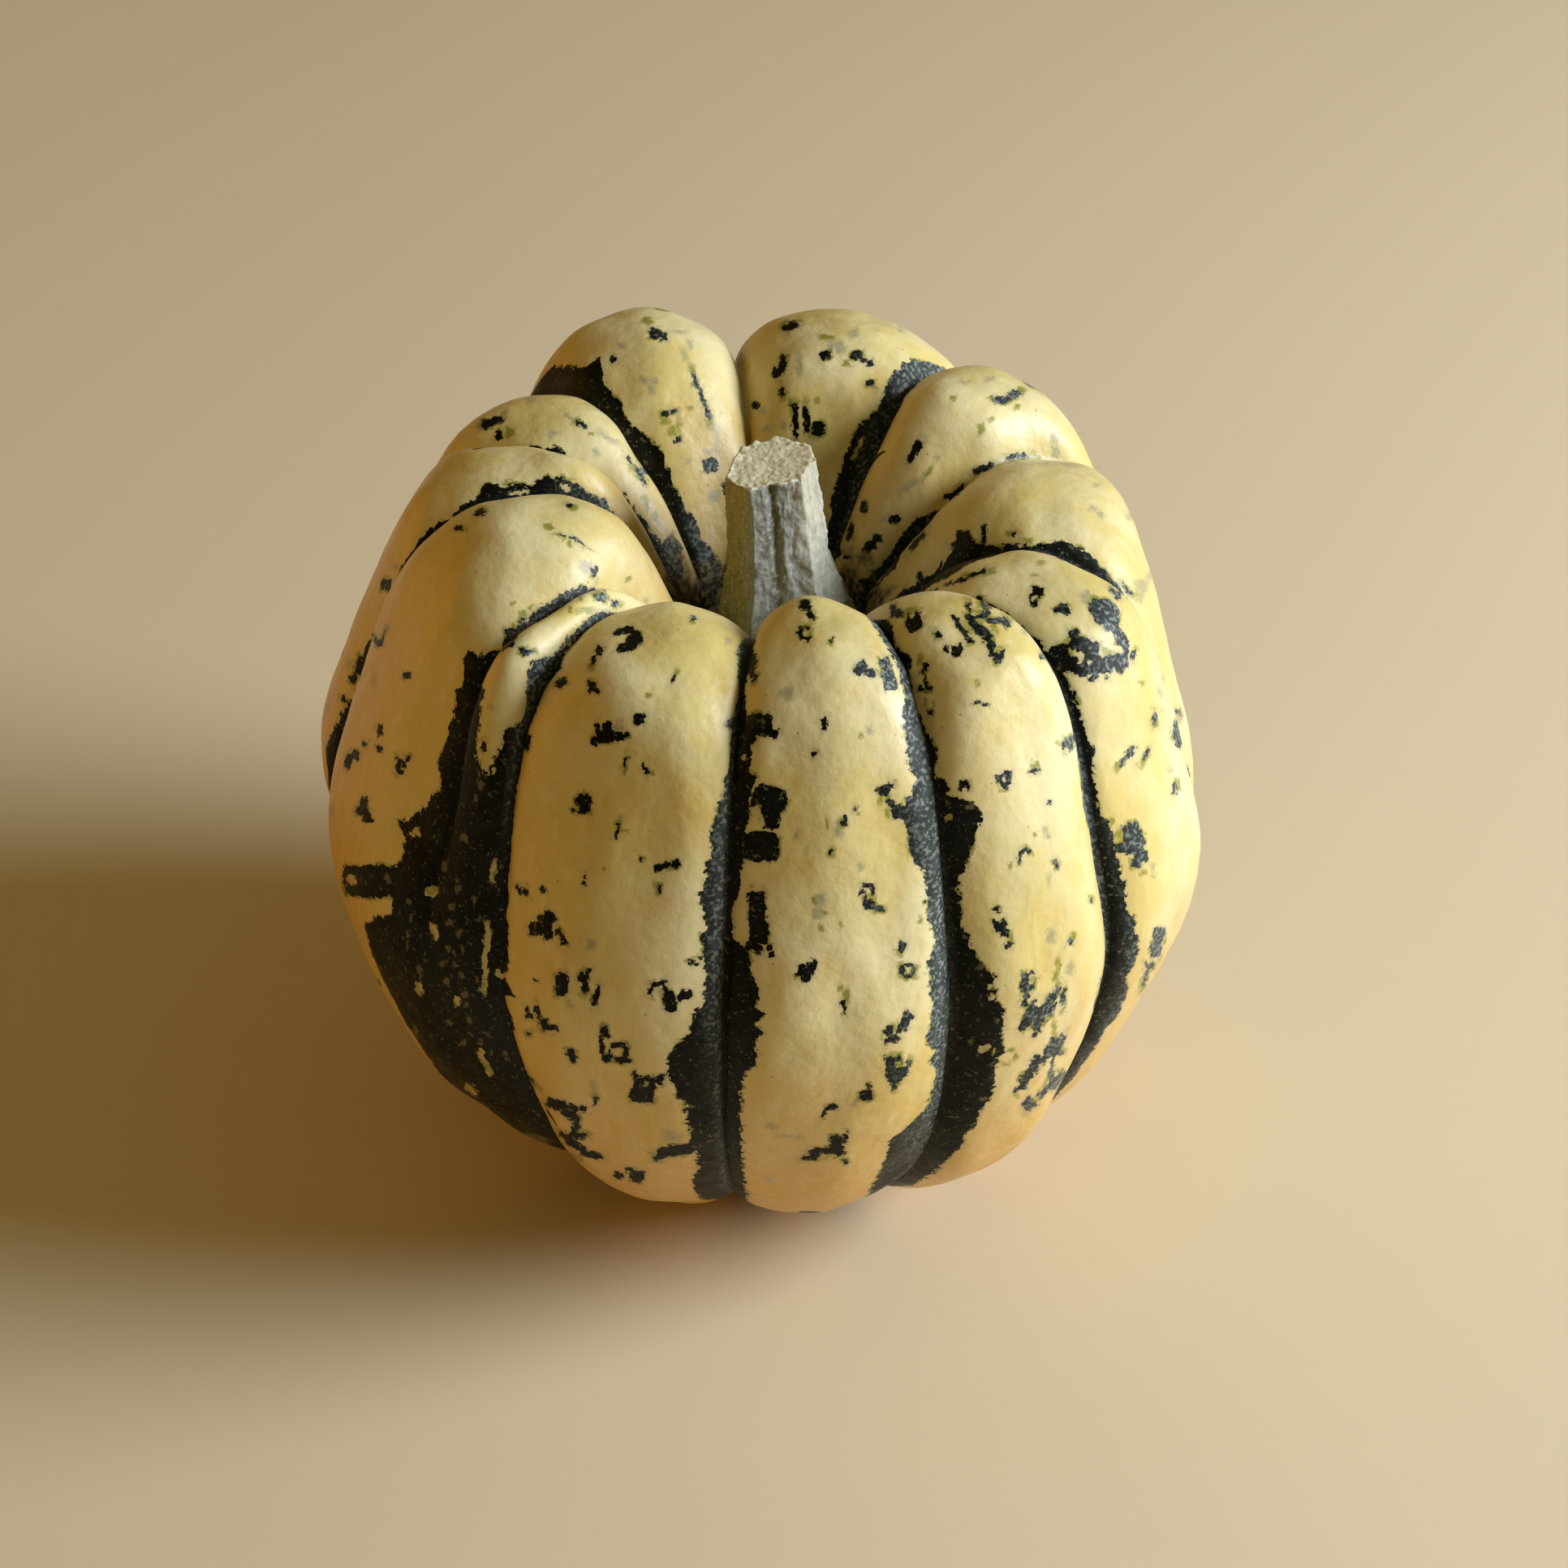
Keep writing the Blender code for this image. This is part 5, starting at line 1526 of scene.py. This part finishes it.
CHANNEL_AZIMUTH, CHANNEL_WIDTH, CHANNEL_DEPTH = 2.0, 6.0, 0.1  # degrees, and share of the radius
CHANNEL_FADES, BUTTRESS_GROWS = (12.0, 20.0), (10.0, 22.0)  # from one depth to another
BUTTRESS_AZIMUTH, BUTTRESS = 85.0, 0.12
FACE_HOLLOW = 0.02


def stem_section(azimuth):
    """Share of the radius at an azimuth: flat or hollow faces between the ridges."""
    ridges = np.array(RIDGES + (RIDGES[0] + 360.0,))
    heights = np.array(RIDGE_HEIGHTS + (RIDGE_HEIGHTS[0],))
    azimuth = (azimuth - ridges[0]) % 360.0 + ridges[0]
    side = np.clip(np.searchsorted(ridges, azimuth, side="right") - 1, 0, len(RIDGES) - 1)
    gap = ridges[side + 1] - ridges[side]
    share = (azimuth - ridges[side]) / gap
    half = np.radians(gap / 2.0)
    flat = np.cos(half) / np.cos((share * 2.0 - 1.0) * half)
    hollow = 1.0 - FACE_HOLLOW * np.sin(math.pi * share)
    height = heights[side] + (heights[side + 1] - heights[side]) * share
    return flat * hollow * height


def noise_field(points, scale, seed):
    return np.array([noise.noise(Vector(point) * scale + Vector((seed, seed * 1.7, seed * 0.6)))
                     for point in points])


def stem_places(depth, turn):
    """Points of the stem's side at a depth below the cut, in millimetres."""
    azimuth = np.degrees(turn)
    knot = np.interp(depth, STEM_OUTLINE[:, 1], np.arange(len(STEM_OUTLINE)))
    radius = at_station(STEM_OUTLINE, knot)[:, 0]
    offset = (azimuth - CHANNEL_AZIMUTH + 180.0) % 360.0 - 180.0
    channel = CHANNEL_DEPTH * np.exp(-(offset / CHANNEL_WIDTH) ** 2)
    channel *= 1.0 - smooth_step(*CHANNEL_FADES, depth)
    flare = smooth_step(*BUTTRESS_GROWS, depth)
    buttress = 1.0 + BUTTRESS * flare * np.cos(np.radians(azimuth - BUTTRESS_AZIMUTH))
    reach = radius * (stem_section(azimuth) - channel) * buttress
    head, foot = np.array(STEM_LEAN)
    lean = head + (foot - head) * (depth / STEM_HEIGHT)[:, None]
    return np.stack([lean[:, 0] + reach * np.sin(turn), lean[:, 1] - reach * np.cos(turn),
                     STEM_FOOT + STEM_HEIGHT - depth], axis=1)


# %% Draw the stem
def add_stem():
    steps = CUT_RINGS + SIDE_RINGS + FOOT_RINGS
    stem, row, turn = add_ringed_post("squash_stem", STEM_SEGMENTS, steps - 2)
    store_on_vertices(stem, "cut", row < CUT_RINGS)
    turn += math.pi / 2.0  # an azimuth of 0 faces the camera
    depth = np.clip((row - CUT_RINGS) / SIDE_RINGS, 0.0, 1.0) * STEM_HEIGHT
    place = stem_places(depth, turn)
    axis = np.array(STEM_LEAN[0])

    # Corky furrows run down the side, and the whole post is a little crooked.
    out = place[:, :2] - axis
    out /= np.maximum(np.linalg.norm(out, axis=1), 1e-6)[:, None]
    furrow_at = place * np.array([1.0, 1.0, 0.16])
    furrows = 0.26 * noise_field(furrow_at, 0.8, 2.0) + 0.06 * noise_field(furrow_at, 2.8, 5.0)
    grit = 0.22 * noise_field(place, 0.9, 9.0) + 0.10 * noise_field(place, 2.5, 4.0)
    fade = np.clip((STEM_HEIGHT - depth) / 2.0, 0.0, 1.0)
    place[:, :2] += out * ((furrows + grit) * fade)[:, None]
    place[:, 0] += 0.25 * np.sin(depth / 5.0)

    # The cut: rings drawn in to the middle, dished, granular and ragged at the rim.
    cut = row < CUT_RINGS
    share = np.clip(row / CUT_RINGS, 0.0, 1.0)
    place[cut, :2] = axis + (place[cut, :2] - axis) * share[cut, None]
    grain = 0.12 * noise_field(place, 0.5, 3.0) + 0.07 * noise_field(place, 1.6, 8.0)
    top = np.clip(1.0 - depth / 1.2, 0.0, 1.0)
    tilt = 0.10 * (place[:, 0] - axis[0]) + 0.05 * (place[:, 1] - axis[1])
    ragged = 0.1 + 0.45 * noise_field(place, 1.1, 6.0)
    rim = ragged * smooth_step(0.75, 1.0, share) - 0.12 * (1.0 - share)
    place[:, 2] += top * (grain + tilt + rim * cut)

    # The foot closes flat on the crater floor.
    foot = row > CUT_RINGS + SIDE_RINGS
    inward = (steps - row[foot]) / FOOT_RINGS
    middle = np.array(STEM_LEAN[1])
    place[foot, :2] = middle + (place[foot, :2] - middle) * inward[:, None]
    place[:, 0] += AXIS[0]
    place[:, 1] += AXIS[1]
    set_vertex_places(stem, np.clip(place * MM, cad_box[0], cad_box[1]))
    bpy.ops.object.shade_smooth()
    return stem


stem = add_stem()
stem_top = vertex_places(stem)[:, 2].max() / MM
print("stem", len(stem.data.polygons), "faces, top at", round(stem_top, 1), "mm")

# %% [markdown]
# ## The stem's finish
#
# The stem is dead, dry tissue: matt and weathered grey, with fibres that run down it. Painted warm
# shade makes its left face brown, and painted light makes its right flank paler, more so higher up.
# The cut is paler and granular. The noise is stretched upright so that it reads as fibre, and each
# vertex of the mesh says whether it lies on the cut.

# %% Stem material
# The pale colour serves both the pale grains and the painted light on the right flank, and the brown is
# painted warm shade on the left.
BARK_GREY, BARK_PALE_GRAIN_AND_LIT, BARK_WARM_SHADE_BROWN, BARK_DARK = "989d92", "d4ceb4", "a09658", "3f3e30"
CUT_PALE, CUT_DARK = "e6e0c0", "c8c29a"


def bark(tree, where, grains):
    """Weathered grey, painted light on the right, painted warm shade left, painted shade in the
    channel.
    """
    place = add(tree, SPLIT, where)
    upright = add(tree, "ShaderNodeMapping", where, Scale=(1.0, 1.0, 0.3))
    cloud = add(tree, NOISE, upright, per_metre(2.2), 3.0)
    cloud = add(tree, MATH, cloud, 3.0, -1.5, operation="MULTIPLY_ADD")
    across = add(tree, MATH, cloud, MM, place, operation="MULTIPLY_ADD")
    across = add(tree, MATH, across, AXIS[0] * MM, operation="SUBTRACT")
    above_foot = add(tree, MATH, place.outputs[2], STEM_FOOT * MM, operation="SUBTRACT")

    # Painted light: the right flank that faces the window is paler, more so higher up.
    painted_lit_side = add(tree, RANGE, across, 1.6 * MM, 4.6 * MM, 0.0, 0.7, **SMOOTH)
    high = add(tree, RANGE, above_foot, 8.0 * MM, 21.0 * MM, 0.25, 1.0, **SMOOTH)
    painted_lit_side = add(tree, MATH, painted_lit_side, high, operation="MULTIPLY")
    # Painted warm shade: the left face is brown.
    painted_warm_shade_side = add(tree, RANGE, across, -3.6 * MM, -2.4 * MM, 0.9, 0.0, **SMOOTH)
    # Painted shade down the channel in front.
    off_channel = add(tree, MATH, across, 0.1 * MM, operation="SUBTRACT")
    off_channel = add(tree, MATH, off_channel, operation="ABSOLUTE")
    channel = add(tree, RANGE, off_channel, 0.2 * MM, 0.9 * MM, 0.6, 0.0, **SMOOTH)
    low = add(tree, RANGE, above_foot, 2.0 * MM, 10.0 * MM, 0.6, 0.0, **SMOOTH)
    spots = add(tree, NOISE, where, per_metre(1.5), 3.0)
    spots = add(tree, RANGE, spots, 0.45, 0.55, **SMOOTH)
    low = add(tree, MATH, low, spots, operation="MULTIPLY")
    fibres = add(tree, NOISE, upright, per_metre(0.7), 4.0, 0.65)
    fibres = add(tree, RANGE, fibres, 0.42, 0.7, 0.0, 0.3, **SMOOTH)
    pale_grains = add(tree, RANGE, grains, 0.52, 0.66, 0.0, 0.4, **SMOOTH)

    color = linear(BARK_GREY)
    for share, tint in ((painted_lit_side, BARK_PALE_GRAIN_AND_LIT), (channel, BARK_DARK), (painted_warm_shade_side, BARK_WARM_SHADE_BROWN),
                        (low, BARK_DARK), (fibres, BARK_DARK), (pale_grains, BARK_PALE_GRAIN_AND_LIT)):
        color = add(tree, MIX, share, color, linear(tint), data_type="RGBA")
    return color


def make_stem_material():
    material = new_material("dry_corky_bark")
    tree = material.node_tree
    where = add(tree, "ShaderNodeTexCoord").outputs["Object"]
    grains = add(tree, NOISE, where, per_metre(0.5), 3.0)
    granular = add(tree, RANGE, grains, 0.45, 0.75, **SMOOTH)
    cut_color = add(tree, MIX, granular, linear(CUT_PALE), linear(CUT_DARK), data_type="RGBA")
    on_cut = add(tree, ATTRIBUTE, attribute_name="cut").outputs["Fac"]
    color = add(tree, MIX, on_cut, bark(tree, where, grains), cut_color, data_type="RGBA")
    upright = add(tree, "ShaderNodeMapping", where, Scale=(1.0, 1.0, 0.3))
    relief = add(tree, NOISE, upright, per_metre(0.5), 4.0)
    relief = add(tree, MATH, grains, 0.6, relief, operation="MULTIPLY_ADD")
    bump = add(tree, "ShaderNodeBump", Height=relief, Strength=0.6, Distance=0.2 * MM)
    shader = add(tree, "ShaderNodeBsdfPrincipled", Base_Color=color, Roughness=0.85, Normal=bump)
    add(tree, "ShaderNodeOutputMaterial", Surface=shader)
    return material


stem.data.materials.append(make_stem_material())
print("stem material", len(stem.data.materials[0].node_tree.nodes), "nodes")

# %% [markdown]
# ## Studio
#
# A plain pale floor and soft light. The photograph's key light is a large window to the right,
# not far above the squash. The shaded side glows warm from the room, so a weak orange lamp stands
# on the left, the air round the horizon is warm, and the air overhead is paler.

# %% Floor, lights and world
FLOOR_PALE = "e4d4b0"
KEY_COLOR = "eef4ff"
KEY_TURN, KEY_RISE, KEY_DISTANCE, KEY_SIZE, KEY_WATTS = 84.5, 25.0, 0.9, 0.5, 12.1
GLOW_COLOR = "ffb448"
GLOW_TURN, GLOW_RISE, GLOW_DISTANCE, GLOW_SIZE, GLOW_WATTS = -100.0, 8.0, 0.8, 0.7, 1.3
LAMPS_AIM = 50.0 * MM  # height that the lamps point at
AIR_LOW, AIR_HIGH, AIR_STRENGTH = "d8962a", "e0d498", 0.22


def add_floor():
    bpy.ops.object.select_all(action="DESELECT")
    bpy.ops.mesh.primitive_plane_add(size=6.0, location=(0.0, 0.0, 0.0))
    floor = bpy.context.object
    floor.name = "studio_floor"
    material = new_material("matt_paper_floor")
    tree = material.node_tree
    shader = add(tree, "ShaderNodeBsdfPrincipled", Base_Color=linear(FLOOR_PALE), Roughness=0.9)
    add(tree, "ShaderNodeOutputMaterial", Surface=shader)
    floor.data.materials.append(material)


def add_lamp(name, turn, rise, distance, across, watts, color):
    """A soft round lamp, placed by its azimuth from the camera's side and its height in degrees."""
    turn, rise = math.radians(turn), math.radians(rise)
    aim = Vector((0.0, 0.0, LAMPS_AIM))
    level = math.cos(rise)
    away = Vector((math.sin(turn) * level, -math.cos(turn) * level, math.sin(rise)))
    bpy.ops.object.light_add(type="AREA", location=aim + away * distance)
    lamp = bpy.context.object
    lamp.name = name
    lamp.data.shape = "DISK"
    lamp.data.size = across
    lamp.data.energy = watts
    lamp.data.color = linear(color)[:3]
    lamp.rotation_euler = (-away).to_track_quat("-Z", "Y").to_euler()
    return lamp


def set_air():
    """A weak light from all round: warm near the horizon and paler overhead."""
    world = bpy.data.worlds.new("studio_air")
    world.use_nodes = True
    tree = world.node_tree
    background = tree.nodes["Background"]
    way = add(tree, SPLIT, add(tree, "ShaderNodeTexCoord").outputs["Generated"]).outputs[2]
    share = add(tree, RANGE, way, 0.1, 0.8, **SMOOTH)
    air = add(tree, MIX, share, linear(AIR_LOW), linear(AIR_HIGH), data_type="RGBA")
    tree.links.new(air.outputs[2], background.inputs["Color"])
    background.inputs["Strength"].default_value = AIR_STRENGTH
    bpy.context.scene.world = world


add_floor()
add_lamp("window_key", KEY_TURN, KEY_RISE, KEY_DISTANCE, KEY_SIZE, KEY_WATTS, KEY_COLOR)
add_lamp("room_glow", GLOW_TURN, GLOW_RISE, GLOW_DISTANCE, GLOW_SIZE, GLOW_WATTS, GLOW_COLOR)
set_air()
bpy.context.scene.view_settings.view_transform = "Standard"

# %% [markdown]
# ## Join the dress to the plain model
#
# Each piece stands for its plain solid and moves with the one body.

# %% Ride and replace
for piece, node, slot_name in ((skin, "fruit", "skin"), (stem, "stem", "stem")):
    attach(piece, "root")
    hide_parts(node)
